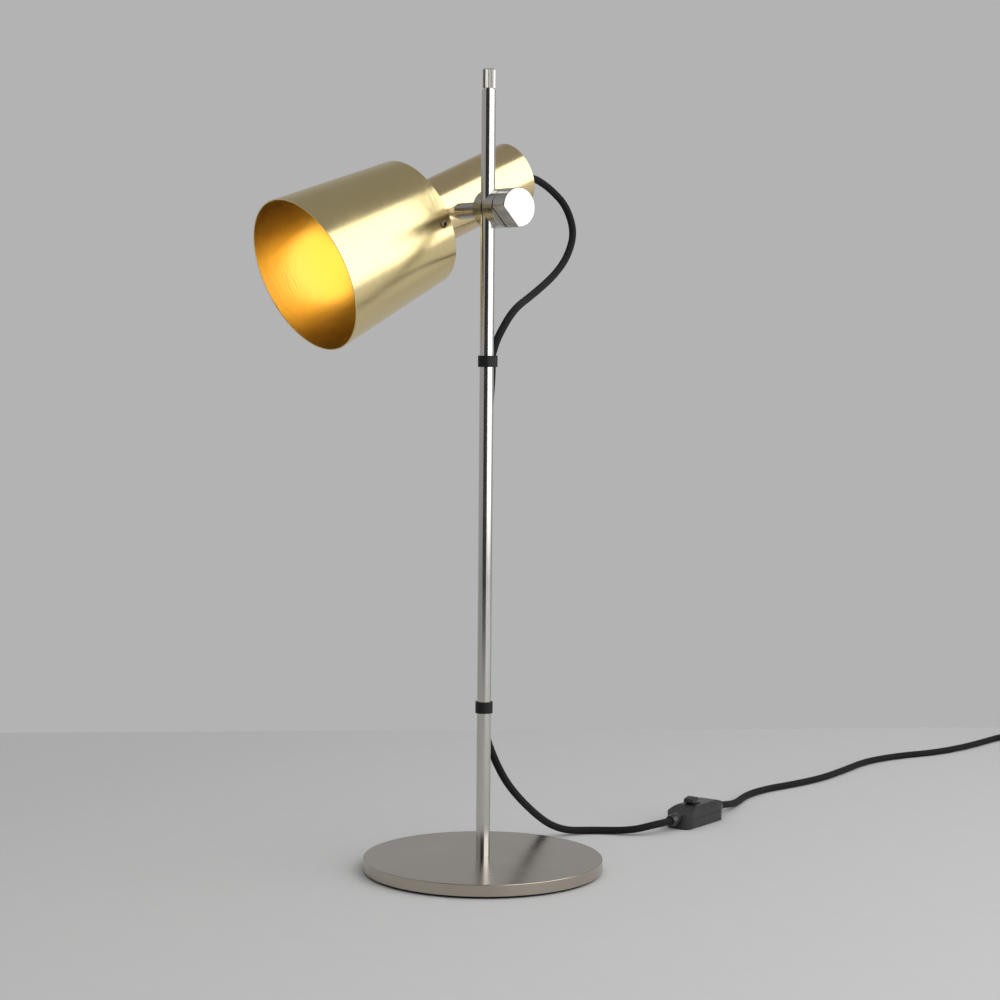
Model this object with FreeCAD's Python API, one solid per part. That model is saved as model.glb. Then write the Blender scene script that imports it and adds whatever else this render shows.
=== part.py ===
import FreeCAD, Part

import math
import os

from FreeCAD import Placement, Rotation, Vector

# Table lamp: a round base, a vertical pole, a two-jaw clamp with a knob that
# holds a tilting brass head, and a braided mains cord with an inline switch.
# Millimetres, +Z up. The origin is on the floor, under the pole's axis.
# +X points the way the clamp knob faces and the head looks towards -Y.

# ---- Shared fits and fasteners ----
FIT = 0.05                 # radial clearance of a shaft in its bore
FACE_GAP = 0.05            # gap between faces that turn on each other
BOLT_RADIUS = 3.0          # M6 thread, used at the base, cap, clamp and pin
NUT_ACROSS_FLATS = 10.0
NUT_HEIGHT = 5.0
WASHER_THICKNESS = 1.0

# ---- Base ----
BASE_RADIUS = 102.5
BASE_THICKNESS = 10.0
BASE_EDGE = 0.6            # chamfer on both rims
PAD_THICKNESS = 2.0
PAD_INSET = 3.5
SOCKET_DEPTH = 3.0         # the pole's seat in the top face
RECESS_RADIUS = 8.5        # counterbore for the screw from below
RECESS_DEPTH = 4.5
BASE_SCREW_HEAD_RADIUS = 5.3
BASE_SCREW_HEAD = 3.0
BASE_SCREW_GRIP = 16.0     # thread engaged in the pole
SOCKET_KEY = 2.5           # across flats of the hexagon in the screw's head

# ---- Pole and its cap ----
POLE_RADIUS = 6.0
POLE_LENGTH = 653.3
CAP_RADIUS = 5.3
CAP_LENGTH = 17.4
CAP_COLLAR = 1.4           # plain ring under the flutes
CAP_CHAMFER = 0.8
CAP_FLUTES = 24
CAP_FLUTE_DEPTH = 0.45
CAP_SPIGOT = 10.0

# ---- Cord clips on the pole ----
CLIP_WALL = 1.4
CLIP_VALLEY = 0.8          # how far the waist dips between the two rings
CLIP_HEIGHT = 9.6
UPPER_CLIP_BOTTOM = 430.8
LOWER_CLIP_BOTTOM = 136.4
UPPER_CLIP_CORD = (-4.2, 8.9)     # the cord's centre in each clip
LOWER_CLIP_CORD = (-7.7, 5.8)

# ---- Clamp: stations run along +X from the pole's axis ----
CLAMP_HEIGHT = 564.0
POLE_TO_BOLT = 0.5         # metal between the pole and the bolt
JAW_RADIUS = 16.5
JAW_SPLIT = 1.5
REAR_JAW_LENGTH = 11.75
FRONT_JAW_LENGTH = 13.65
JAW_EDGE = 0.4
FRICTION_WASHER_RADIUS = 8.5
FRICTION_WASHER = 0.6
KNOB_WASHER_RADIUS = 11.0
KNOB_WASHER = 0.6
KNOB_RADIUS = 16.5
KNOB_LENGTH = 15.85
KNOB_EDGE = 0.5
KNOB_FLAT = 11.5           # flat's distance from the bolt's axis
KNOB_FLAT_ANGLE = 223.5    # direction the flat faces, from +Y towards +Z
BOLT_IN_KNOB = 13.0
BOLT_IN_PIN = 12.0

# ---- Head: stations run along its own axis from the tilt pivot ----
HEAD_OFFSET = 93.5         # pole's axis to head's axis, towards -X
HEAD_TILT = 23.5           # below the horizontal
PIN_RADIUS = 7.0
PIN_TIP_RADIUS = 3.8
PIN_CONE = 13.0
NECK_RADIUS = 29.0
NECK_WALL = 1.2
NECK_REAR = -96.6
NECK_FRONT = 24.1
END_CAP_INSET = 1.6
END_CAP_THICKNESS = 1.5
END_CAP_SKIRT = 7.0
GLAND_DROP = 9.0           # gland's axis below the neck's axis
GLAND_RADIUS = 5.0
GLAND_FLANGE_RADIUS = 7.2
GLAND_FLANGE = 1.4
GLAND_NOSE = 4.6
GLAND_TAIL = 18.0
GLAND_TIP_WALL = 0.9
SHADE_REAR = 23.0
SHADE_LENGTH = 121.5
SHADE_REAR_RADIUS = 57.0
SHADE_FRONT_RADIUS = 68.4
SHADE_WALL = 1.0
SHADE_LIP_RADIUS = 52.0
MOUNT_PLATE = 2.0
MOUNT_RIM = 9.9
MOUNT_RIM_WALL = 2.5
MOUNT_FIT = 0.1
MOUNT_HUB = 12.1
MOUNT_HUB_WALL = 5.75
SHADE_SCREW_STATION = 32.3
SHADE_SCREWS = 3
SHADE_SCREW_RADIUS = 1.5
SHADE_SCREW_HEAD_RADIUS = 3.25
SHADE_SCREW_HEAD = 1.9
SHADE_SCREW_KEY = 2.0

# ---- Lampholder and bulb ----
HOLDER_RADIUS = 21.0
HOLDER_REAR = -30.0
HOLDER_SKIRT_RADIUS = 19.8
HOLDER_SKIRT = 9.9
HOLDER_SKIRT_WALL = 1.4
HOLDER_FLOOR = -12.9
HOLDER_ENTRY = 6.0         # depth of the cord's entry hole
HOLDER_RING_RADIUS = 24.5
HOLDER_RING = 4.4
INSERT_RADIUS = 14.3
INSERT_WALL = 0.7
INSERT_LENGTH = 22.0
CONTACT_LENGTH = 2.7
CONTACT_RADIUS = 5.0
BULB_CAP_RADIUS = 13.2
BULB_CAP_LENGTH = 27.2
BULB_CAP_WALL = 0.5
BULB_CAP_FLOOR = 6.0
BULB_RADIUS = 30.0
BULB_CENTRE = 78.2         # bulb's centre from its contact end
BULB_SHOULDER_RADIUS = 17.8
BULB_SHOULDER = 46.2
BULB_WALL = 0.8
BULB_LEDGE = 0.4           # glass standing proud of the cap's rim
STEM_RADIUS = 3.0
STEM_LENGTH = 48.0
FILAMENT_SPAN = 9.0
FILAMENT_RISE = 22.0
FILAMENT_WIRE = 0.6

# ---- Cord ----
CORD_RADIUS = 3.3
CORD_BEND = 0.45           # share of the shorter run that an arc uses

# ---- Inline switch: stations run along the cord from its middle ----
SWITCH_CENTRE = (-37.7, 279.3)
SWITCH_HEADING = 106.14    # degrees from +X, from the lamp's side to the plug's
SWITCH_LENGTH = 66.6
SWITCH_WIDTH = 27.0
SWITCH_HEIGHT = 20.0
SWITCH_WALL = 1.8
SWITCH_CORNER = 9.0
SWITCH_SHOULDER = 6.0
SWITCH_NOSE = 13.2         # roof height at the lamp's end
SWITCH_NOSE_LENGTH = 20.0
SWITCH_TAIL = 16.5         # roof height at the plug's end
SWITCH_TAIL_LENGTH = 9.0
SWITCH_AXIS = 9.5          # height of the cord and of the seam
SWITCH_SEAM = 0.4          # V-shaped line round the seam
COLLAR_LENGTH = 11.0
COLLAR_RADIUS = 5.8
COLLAR_TIP_RADIUS = 4.7
ROCKER_STATION = -4.0
ROCKER_RADIUS = 12.0
ROCKER_WIDTH = 10.0
ROCKER_FLOOR = 2.5         # underside above the rocker's pin
ROCKER_LEAN = 12.0         # degrees each side of upright
ROCKER_PIN_RADIUS = 1.5
ROCKER_CLEARANCE = 0.3
TAB_HALF_LENGTH = 5.6
TAB_HEIGHT = 16.5
TAB_THICKNESS = 3.3
TAB_STALK = 2.2
BLOCK_LENGTH = 48.0
BLOCK_WIDTH = 16.0
BLOCK_FLOOR = 2.7
BLOCK_POST = 8.0
BLOCK_POST_HEIGHT = 11.4
CHEEK_THICKNESS = 2.2
CHEEK_LENGTH = 6.0
CASE_SCREW_STATION = 27.0
CASE_SCREW_OFFSET = 8.0
CASE_SCREW_RADIUS = 1.2
CASE_SCREW_HEAD_RADIUS = 2.3
CASE_SCREW_HEAD = 1.5
CASE_SCREW_LENGTH = 10.0
CASE_BOSS_RADIUS = 2.6

# ---- Put-away coil and plug ----
COIL_CENTRE = (-132.0, 919.0)
COIL_RADIUS = 42.3         # axis of the outermost turn
COIL_TURNS = 3.25
COIL_STEP = 7.4            # from turn to turn and from layer to layer
COIL_START = 180.0         # where it starts, in degrees from +X, then clockwise
PLUG_RELIEF = 24.0
PLUG_RELIEF_TIP = 4.4
PLUG_RELIEF_RADIUS = 7.0
PLUG_GROOVES = 4
PLUG_RADIUS = 18.25
PLUG_LENGTH = 34.0
PLUG_GRIP_RADIUS = 10.0
PIN_SPACING = 19.0
PLUG_PIN_RADIUS = 2.4
PLUG_PIN_LENGTH = 19.0
PLUG_PIN_ROOT = 8.0

# ---- Values that follow from the sizes above ----
ORIGIN = Vector(0, 0, 0)
Z = Vector(0, 0, 1)
BASE_TOP = PAD_THICKNESS + BASE_THICKNESS
POLE_FOOT = BASE_TOP - SOCKET_DEPTH
POLE_TOP = POLE_FOOT + POLE_LENGTH
RECESS_TOP = PAD_THICKNESS + RECESS_DEPTH
BORE_RADIUS = BOLT_RADIUS + FIT
CORD_BORE = CORD_RADIUS + FIT
BOLT_OFFSET = POLE_RADIUS + POLE_TO_BOLT + BOLT_RADIUS
REAR_JAW_END = -JAW_SPLIT / 2 - REAR_JAW_LENGTH
FRONT_JAW_END = JAW_SPLIT / 2 + FRONT_JAW_LENGTH
PIN_START = REAR_JAW_END - FRICTION_WASHER - FACE_GAP
PIN_END = -HEAD_OFFSET + NECK_RADIUS
KNOB_START = FRONT_JAW_END + KNOB_WASHER + FACE_GAP
HEAD_PIVOT = Vector(-HEAD_OFFSET, BOLT_OFFSET, CLAMP_HEIGHT)
NECK_BORE = NECK_RADIUS - NECK_WALL
SHADE_FRONT = SHADE_REAR + SHADE_LENGTH
SHADE_SLOPE = (SHADE_FRONT_RADIUS - SHADE_REAR_RADIUS) / SHADE_LENGTH
MOUNT_FACE = NECK_FRONT
MOUNT_FRONT = MOUNT_FACE + MOUNT_PLATE
END_CAP_FACE = NECK_REAR + END_CAP_INSET
GLAND_MOUTH = END_CAP_FACE - GLAND_FLANGE - GLAND_NOSE
BULB_BASE = HOLDER_FLOOR + CONTACT_LENGTH
SWITCH_END = SWITCH_LENGTH / 2
SWITCH_TIP = SWITCH_END + COLLAR_LENGTH
COIL_INNER = COIL_RADIUS - COIL_STEP * (COIL_TURNS / 2 - 0.125)


# ---- Solids of revolution and prisms ----
def rod(radius, start, end, x=0.0, y=0.0):
    """A cylinder along Z from one station to the other."""
    low = min(start, end)
    return Part.makeCylinder(radius, abs(end - start), Vector(x, y, low))


def ring(outer, inner, start, end):
    """A cylinder with a bore right through it."""
    return rod(outer, start, end).cut(rod(inner, start - 1, end + 1))


def turned(profile):
    """The solid that a closed outline of (radius, station) turns round Z."""
    corners = [Vector(radius, 0, station) for radius, station in profile]
    face = Part.Face(Part.makePolygon(corners + corners[:1]))
    return face.revolve(ORIGIN, Z, 360)


def hexagon(across_flats, start, end, x=0.0, y=0.0):
    """A hexagonal bar along Z."""
    corner = across_flats / math.sqrt(3)
    points = []
    for step in range(7):
        angle = math.radians(60 * step)
        points.append(Vector(x + corner * math.cos(angle), y + corner * math.sin(angle), start))
    return Part.Face(Part.makePolygon(points)).extrude(Z * (end - start))


def corner_arc(before, corner, after, radius):
    """The arc that rounds a corner: its first point, middle and last point."""
    back = (before - corner).normalize()
    ahead = (after - corner).normalize()
    half = back.getAngle(ahead) / 2
    inward = (back + ahead).normalize()
    reach = radius / math.tan(half)
    centre = corner + inward * (radius / math.sin(half))
    return corner + back * reach, centre - inward * radius, corner + ahead * reach


def rounded_face(points, radii):
    """A flat face whose corners are rounded by the radii given, 0 for none."""
    count = len(points)
    stops = []
    for index in range(count):
        point = points[index]
        if radii[index] > 0:
            stops.append(corner_arc(points[index - 1], point, points[(index + 1) % count],
                                    radii[index]))
        else:
            stops.append((point, None, point))
    edges = []
    for index in range(count):
        first, middle, last = stops[index]
        if middle is not None:
            edges.append(Part.Arc(first, middle, last).toShape())
        following = stops[(index + 1) % count][0]
        if last.distanceToPoint(following) > 1e-6:
            edges.append(Part.LineSegment(last, following).toShape())
    return Part.Face(Part.Wire(edges))


# ---- Cord paths ----
def cord_path(points):
    """Straight runs joined by tangent arcs, and the radius of each arc."""
    edges = []
    radii = []
    start = points[0]
    for index in range(1, len(points) - 1):
        before, corner, after = points[index - 1:index + 2]
        turn = (corner - before).getAngle(after - corner)
        run = min(corner.distanceToPoint(before), corner.distanceToPoint(after))
        radius = CORD_BEND * run / math.tan(turn / 2)
        first, middle, last = corner_arc(before, corner, after, radius)
        edges.append(Part.LineSegment(start, first).toShape())
        edges.append(Part.Arc(first, middle, last).toShape())
        radii.append(radius)
        start = last
    edges.append(Part.LineSegment(start, points[-1]).toShape())
    return Part.Wire(edges), radii


def swept_cord(path, start, heading):
    """The cord's round section swept along a path."""
    section = Part.Wire(Part.makeCircle(CORD_RADIUS, start, heading))
    return path.makePipeShell([section], True, False)


def cord(name, route):
    """One free stretch of cord, with its radii printed."""
    points = [Vector(*point) for point in route]
    path, radii = cord_path(points)
    solid = swept_cord(path, points[0], points[1] - points[0])
    expected = math.pi * CORD_RADIUS ** 2 * path.Length
    print(name, "length", round(path.Length, 1), "volume ratio",
          round(solid.Volume / expected, 4), "least radius", round(min(radii), 1),
          "radii", [round(radius) for radius in radii])
    return solid


def halfway(first, second):
    """The middle of a run, where two stretches of cord meet."""
    return tuple((a + b) / 2 for a, b in zip(first, second))


def tangent_arc(start, heading, end):
    """The arc that leaves start along heading and reaches end."""
    chord = end - start
    along = chord / chord.Length
    side = (heading - along * heading.dot(along)).normalize()
    sagitta = chord.Length / 2 * math.tan(heading.getAngle(chord) / 2)
    return Part.Arc(start, (start + end) / 2 + side * sagitta, end).toShape()


def biarc(start, heading, end, final):
    """Two tangent arcs between two points with given unit headings."""
    chord = end - start
    total = chord.dot(heading + final)
    spread = 2 * (1 - heading.dot(final))
    reach = (-total + math.sqrt(total ** 2 + spread * chord.dot(chord))) / spread
    joint = (start + end + (heading - final) * reach) / 2
    joint_heading = (end - start - (heading + final) * reach).normalize()
    return [tangent_arc(start, heading, joint), tangent_arc(joint, joint_heading, end)]


# ---- Base, pole and clips ----
def base_plate():
    rim = BASE_RADIUS - BASE_EDGE
    plate = turned([(0, PAD_THICKNESS), (rim, PAD_THICKNESS),
                    (BASE_RADIUS, PAD_THICKNESS + BASE_EDGE),
                    (BASE_RADIUS, BASE_TOP - BASE_EDGE), (rim, BASE_TOP), (0, BASE_TOP)])
    plate = plate.cut(rod(POLE_RADIUS + FIT, POLE_FOOT, BASE_TOP + 1))
    plate = plate.cut(rod(RECESS_RADIUS, PAD_THICKNESS - 1, RECESS_TOP))
    return plate.cut(rod(BORE_RADIUS, PAD_THICKNESS, BASE_TOP))


def base_foot_pad():
    return ring(BASE_RADIUS - PAD_INSET, RECESS_RADIUS, 0, PAD_THICKNESS)


def pole_base_washer():
    return ring(RECESS_RADIUS - 0.5, BORE_RADIUS, RECESS_TOP - WASHER_THICKNESS, RECESS_TOP)


def pole_base_screw():
    head_top = RECESS_TOP - WASHER_THICKNESS
    head_foot = head_top - BASE_SCREW_HEAD
    screw = rod(BASE_SCREW_HEAD_RADIUS, head_foot, head_top)
    screw = screw.fuse(rod(BOLT_RADIUS, head_top, POLE_FOOT + BASE_SCREW_GRIP))
    key = hexagon(SOCKET_KEY, head_foot - 1, head_foot + BASE_SCREW_HEAD * 0.6)
    return screw.cut(key).removeSplitter()


def pole():
    bar = rod(POLE_RADIUS, POLE_FOOT, POLE_TOP)
    bar = bar.cut(rod(BORE_RADIUS, POLE_FOOT - 1, POLE_FOOT + BASE_SCREW_GRIP + 1))
    return bar.cut(rod(BORE_RADIUS, POLE_TOP - CAP_SPIGOT - 1, POLE_TOP + 1))


def pole_cap():
    """A fluted grip on a plain collar, with a threaded spigot below."""
    flute_foot = POLE_TOP + CAP_COLLAR
    top = POLE_TOP + CAP_LENGTH
    points = []
    for step in range(2 * CAP_FLUTES + 1):
        radius = CAP_RADIUS - CAP_FLUTE_DEPTH * (step % 2)
        angle = math.pi * step / CAP_FLUTES
        points.append(Vector(radius * math.cos(angle), radius * math.sin(angle), flute_foot))
    grip = Part.Face(Part.makePolygon(points)).extrude(Z * (top - flute_foot))
    rim = CAP_RADIUS - CAP_CHAMFER
    envelope = turned([(0, flute_foot - 1), (CAP_RADIUS + 1, flute_foot - 1),
                       (CAP_RADIUS + 1, top - CAP_CHAMFER - 1), (rim, top), (0, top)])
    grip = grip.common(envelope)
    collar = rod(CAP_RADIUS - CAP_FLUTE_DEPTH, POLE_TOP, flute_foot)
    spigot = rod(BOLT_RADIUS, POLE_TOP - CAP_SPIGOT, POLE_TOP)
    return grip.fuse([collar, spigot]).removeSplitter()


def waist(first, first_radius, second, second_radius, start, end):
    """A prism whose outline is the belt round two circles."""
    line = second - first
    bearing = math.atan2(line.y, line.x)
    spread = math.acos((first_radius - second_radius) / line.Length)

    def on(centre, radius, angle):
        return Vector(centre.x + radius * math.cos(angle), centre.y + radius * math.sin(angle),
                      start)

    left, right = bearing + spread, bearing - spread
    first_arc = Part.Arc(on(first, first_radius, left),
                         on(first, first_radius, bearing + math.pi),
                         on(first, first_radius, right)).toShape()
    second_arc = Part.Arc(on(second, second_radius, right),
                          on(second, second_radius, bearing),
                          on(second, second_radius, left)).toShape()
    sides = [Part.LineSegment(on(first, first_radius, right),
                              on(second, second_radius, right)).toShape(),
             Part.LineSegment(on(second, second_radius, left),
                              on(first, first_radius, left)).toShape()]
    outline = Part.Wire([first_arc, sides[0], second_arc, sides[1]])
    return Part.Face(outline).extrude(Z * (end - start))


def cord_clip(bottom, cord_centre):
    """A moulded clip with one ring round the pole and one round the cord."""
    top = bottom + CLIP_HEIGHT
    x, y = cord_centre
    pole_ring = POLE_RADIUS + CLIP_WALL
    cord_ring = CORD_RADIUS + CLIP_WALL
    clip = waist(ORIGIN, pole_ring - CLIP_VALLEY, Vector(x, y, 0), cord_ring - CLIP_VALLEY,
                 bottom, top)
    clip = clip.fuse([rod(pole_ring, bottom, top), rod(cord_ring, bottom, top, x, y)])
    holes = [rod(POLE_RADIUS + FIT, bottom - 1, top + 1), rod(CORD_BORE, bottom - 1, top + 1, x, y)]
    return clip.cut(holes).removeSplitter()


# ---- Clamp: built along Z, then laid along +X on the bolt's axis ----
CLAMP_FRAME = Placement(Vector(0, BOLT_OFFSET, CLAMP_HEIGHT), Rotation(Vector(0, 1, 0), 90))


def on_bolt(shape):
    shape.Placement = CLAMP_FRAME.multiply(shape.Placement)
    return shape


def edged_disc(radius, edge, start, end):
    """A disc with both rims chamfered."""
    return turned([(0, start), (radius - edge, start), (radius, start + edge),
                   (radius, end - edge), (radius - edge, end), (0, end)])


def jaw(start, end):
    """One half of the clamp, grooved for the pole and bored for the bolt."""
    block = edged_disc(JAW_RADIUS, JAW_EDGE, start, end).cut(rod(BORE_RADIUS, start - 1, end + 1))
    groove = rod(POLE_RADIUS + FIT, CLAMP_HEIGHT - 2 * JAW_RADIUS, CLAMP_HEIGHT + 2 * JAW_RADIUS)
    return on_bolt(block).cut(groove)


def friction_washer():
    end = REAR_JAW_END
    return on_bolt(ring(FRICTION_WASHER_RADIUS, BORE_RADIUS, end - FRICTION_WASHER, end))


def knob_washer():
    end = FRONT_JAW_END
    return on_bolt(ring(KNOB_WASHER_RADIUS, BORE_RADIUS, end, end + KNOB_WASHER))


def clamp_knob():
    """A turned knob with one milled flat and a blind bore for the bolt."""
    end = KNOB_START + KNOB_LENGTH
    knob = edged_disc(KNOB_RADIUS, KNOB_EDGE, KNOB_START, end)
    knob = knob.cut(rod(BORE_RADIUS, KNOB_START - 1, KNOB_START + BOLT_IN_KNOB))
    offcut = Part.makeBox(2 * KNOB_RADIUS, 4 * KNOB_RADIUS, 2 * KNOB_LENGTH,
                          Vector(KNOB_FLAT, -2 * KNOB_RADIUS, KNOB_START - KNOB_LENGTH / 2))
    offcut.rotate(ORIGIN, Z, 90 + KNOB_FLAT_ANGLE)
    return on_bolt(knob.cut(offcut))


def clamp_bolt():
    return on_bolt(rod(BOLT_RADIUS, PIN_START - BOLT_IN_PIN, KNOB_START + BOLT_IN_KNOB))


def pivot_pin():
    """The arm from the clamp to the neck: a bar, a cone and a threaded spigot."""
    shoulder = PIN_END + PIN_CONE
    sunk = PIN_END - 1
    arm = turned([(0, sunk), (PIN_TIP_RADIUS, sunk), (PIN_TIP_RADIUS, PIN_END),
                  (PIN_RADIUS, shoulder), (PIN_RADIUS, PIN_START), (0, PIN_START)])
    arm = on_bolt(arm).cut(in_head(rod(NECK_RADIUS, NECK_REAR, NECK_FRONT)))
    tip = PIN_END - NECK_WALL - WASHER_THICKNESS - NUT_HEIGHT
    spigot = on_bolt(rod(BOLT_RADIUS, tip, shoulder))
    bore = on_bolt(rod(BORE_RADIUS, PIN_START - BOLT_IN_PIN - 1, PIN_START + 1))
    return arm.fuse(spigot).cut(bore).removeSplitter()


def pin_washer():
    """A saddle washer that fits the inside of the neck."""
    inner = -HEAD_OFFSET + NECK_BORE - WASHER_THICKNESS
    washer = on_bolt(ring(NUT_ACROSS_FLATS * 0.7, BORE_RADIUS, inner, inner + 2))
    return washer.common(in_head(rod(NECK_BORE, NECK_REAR, NECK_FRONT)))


def pin_nut():
    face = -HEAD_OFFSET + NECK_BORE - WASHER_THICKNESS
    nut = hexagon(NUT_ACROSS_FLATS, face - NUT_HEIGHT, face)
    return on_bolt(nut.cut(rod(BORE_RADIUS, face - NUT_HEIGHT - 1, face + 1)))


# ---- Head: built along Z from the pivot, then tipped forward ----
HEAD_FRAME = Placement(HEAD_PIVOT, Rotation(Vector(1, 0, 0), 90 + HEAD_TILT))


def in_head(shape):
    shape.Placement = HEAD_FRAME.multiply(shape.Placement)
    return shape


def head_point(across, up, station):
    """A point in the head's own frame, in the lamp's frame."""
    return HEAD_FRAME.multVec(Vector(across, up, station))


def shade_radius(station):
    return SHADE_REAR_RADIUS + SHADE_SLOPE * (station - SHADE_REAR)


def shade_inner_radius(station):
    return shade_radius(station) - SHADE_WALL * math.hypot(1, SHADE_SLOPE)


def neck_tube():
    neck = ring(NECK_RADIUS, NECK_BORE, NECK_REAR, NECK_FRONT)
    spigot_hole = on_bolt(rod(BORE_RADIUS, -HEAD_OFFSET, PIN_END + 1))
    return in_head(neck).cut(spigot_hole)


def neck_end_cap():
    """A pressed cup whose face is set in from the neck's rim."""
    radius = NECK_BORE - FIT
    inside = END_CAP_FACE + END_CAP_THICKNESS
    cap = rod(radius, END_CAP_FACE, END_CAP_FACE + END_CAP_SKIRT)
    cap = cap.cut(rod(radius - NECK_WALL, inside, END_CAP_FACE + END_CAP_SKIRT + 1))
    return in_head(cap.cut(rod(GLAND_RADIUS + FIT, END_CAP_FACE - 1, inside + 1, 0, -GLAND_DROP)))


def cord_gland():
    """A snap-in strain relief that tapers to both ends."""
    tip = CORD_BORE + GLAND_TIP_WALL
    flange = END_CAP_FACE - GLAND_FLANGE
    inside = END_CAP_FACE + END_CAP_THICKNESS
    snap = inside + GLAND_FLANGE
    end = inside + GLAND_TAIL
    body = turned([(CORD_BORE, GLAND_MOUTH), (tip, GLAND_MOUTH), (GLAND_RADIUS + 1, flange),
                   (GLAND_FLANGE_RADIUS, flange), (GLAND_FLANGE_RADIUS, END_CAP_FACE),
                   (GLAND_RADIUS, END_CAP_FACE), (GLAND_RADIUS, inside),
                   (GLAND_RADIUS + 1, inside), (GLAND_RADIUS + 1, snap), (tip, end),
                   (CORD_BORE, end)])
    body.translate(Vector(0, -GLAND_DROP, 0))
    return in_head(body)


def inner_lead():
    """The cord inside the neck, from the gland's mouth to the lampholder."""
    return in_head(rod(CORD_RADIUS, GLAND_MOUTH, HOLDER_REAR + HOLDER_ENTRY, 0, -GLAND_DROP))


def screw_placements():
    """Where each shade screw stands on the shade, its Z pointing outwards."""
    lean = math.degrees(math.atan(SHADE_SLOPE))
    seat = Vector(shade_radius(SHADE_SCREW_STATION), 0, SHADE_SCREW_STATION)
    places = []
    for index in range(SHADE_SCREWS):
        turn = Rotation(Z, 360.0 * index / SHADE_SCREWS)
        places.append(Placement(turn.multVec(seat), turn.multiply(Rotation(Vector(0, 1, 0),
                                                                           90 + lean))))
    return places


def at_screws(shape):
    """One copy of a shape at each shade screw."""
    copies = []
    for place in screw_placements():
        copy = shape.copy()
        copy.Placement = place.multiply(copy.Placement)
        copies.append(copy)
    return copies


def shade():
    """A tapered shell, open at the front, with a narrow lip at the rear."""
    lip_front = SHADE_REAR + SHADE_WALL
    shell = turned([(SHADE_LIP_RADIUS, SHADE_REAR), (SHADE_REAR_RADIUS, SHADE_REAR),
                    (SHADE_FRONT_RADIUS, SHADE_FRONT),
                    (shade_inner_radius(SHADE_FRONT), SHADE_FRONT),
                    (shade_inner_radius(lip_front), lip_front), (SHADE_LIP_RADIUS, lip_front)])
    depth = 2 * SHADE_WALL
    return in_head(shell.cut(at_screws(rod(SHADE_SCREW_RADIUS + FIT, -depth, depth))))


def shade_mount():
    """The spider that joins shade, neck and lampholder: plate, rim and hub."""
    front = MOUNT_FRONT + MOUNT_RIM
    gap = SHADE_WALL * math.hypot(1, SHADE_SLOPE) + MOUNT_FIT

    def outer(station):
        return shade_radius(station) - gap

    body = turned([(HOLDER_SKIRT_RADIUS + 0.2, MOUNT_FACE), (outer(MOUNT_FACE), MOUNT_FACE),
                   (outer(front), front), (outer(front) - MOUNT_RIM_WALL, front),
                   (outer(MOUNT_FRONT) - MOUNT_RIM_WALL, MOUNT_FRONT),
                   (HOLDER_SKIRT_RADIUS + 0.2, MOUNT_FRONT)])
    hub_radius = NECK_BORE - FIT
    hub = ring(hub_radius, hub_radius - MOUNT_HUB_WALL, MOUNT_FACE - MOUNT_HUB, MOUNT_FACE)
    body = body.fuse(hub).removeSplitter()
    depth = 3 * MOUNT_RIM_WALL
    return in_head(body.cut(at_screws(rod(SHADE_SCREW_RADIUS + FIT, -depth, 0))))


def shade_screws():
    """Button-head screws through the shade into the spider's rim."""
    reach = SHADE_WALL + MOUNT_FIT + MOUNT_RIM_WALL
    crown = SHADE_SCREW_HEAD_RADIUS * 0.55
    screw = turned([(0, -reach), (SHADE_SCREW_RADIUS, -reach), (SHADE_SCREW_RADIUS, 0),
                    (SHADE_SCREW_HEAD_RADIUS, 0), (SHADE_SCREW_HEAD_RADIUS, SHADE_SCREW_HEAD * 0.3),
                    (crown * 1.45, SHADE_SCREW_HEAD * 0.8), (crown, SHADE_SCREW_HEAD),
                    (0, SHADE_SCREW_HEAD)])
    screw = screw.cut(hexagon(SHADE_SCREW_KEY, SHADE_SCREW_HEAD * 0.35, SHADE_SCREW_HEAD + 1))
    return in_head(Part.Compound(at_screws(screw)))


# ---- Lampholder and bulb ----
def lampholder_body():
    skirt_end = MOUNT_FACE + HOLDER_SKIRT
    insert_end = HOLDER_FLOOR + CONTACT_LENGTH + INSERT_LENGTH + 2
    body = turned([(0, HOLDER_REAR), (HOLDER_RADIUS, HOLDER_REAR), (HOLDER_RADIUS, MOUNT_FACE),
                   (HOLDER_SKIRT_RADIUS, MOUNT_FACE), (HOLDER_SKIRT_RADIUS, skirt_end),
                   (HOLDER_SKIRT_RADIUS - HOLDER_SKIRT_WALL, skirt_end),
                   (HOLDER_SKIRT_RADIUS - HOLDER_SKIRT_WALL, insert_end),
                   (INSERT_RADIUS + FIT, insert_end), (INSERT_RADIUS + FIT, HOLDER_FLOOR),
                   (0, HOLDER_FLOOR)])
    entry = rod(CORD_BORE, HOLDER_REAR - 1, HOLDER_REAR + HOLDER_ENTRY, 0, -GLAND_DROP)
    return in_head(body.cut(entry))


def lampholder_ring():
    inner = HOLDER_SKIRT_RADIUS + FIT
    return in_head(ring(HOLDER_RING_RADIUS, inner, MOUNT_FRONT, MOUNT_FRONT + HOLDER_RING))


def lampholder_insert():
    return in_head(ring(INSERT_RADIUS, INSERT_RADIUS - INSERT_WALL, HOLDER_FLOOR,
                        HOLDER_FLOOR + INSERT_LENGTH))


def lampholder_contact():
    return in_head(rod(CONTACT_RADIUS, HOLDER_FLOOR, BULB_BASE))


def bulb_cap():
    """The screw cap, with the insulator that carries its centre contact."""
    rim = BULB_BASE + BULB_CAP_LENGTH
    inner = BULB_CAP_RADIUS - BULB_CAP_WALL
    floor = BULB_BASE + BULB_CAP_FLOOR
    cap = turned([(0, BULB_BASE), (CONTACT_RADIUS, BULB_BASE), (BULB_CAP_RADIUS, BULB_BASE + 2),
                  (BULB_CAP_RADIUS, rim), (inner, rim), (inner, floor), (0, floor)])
    return in_head(cap)


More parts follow.
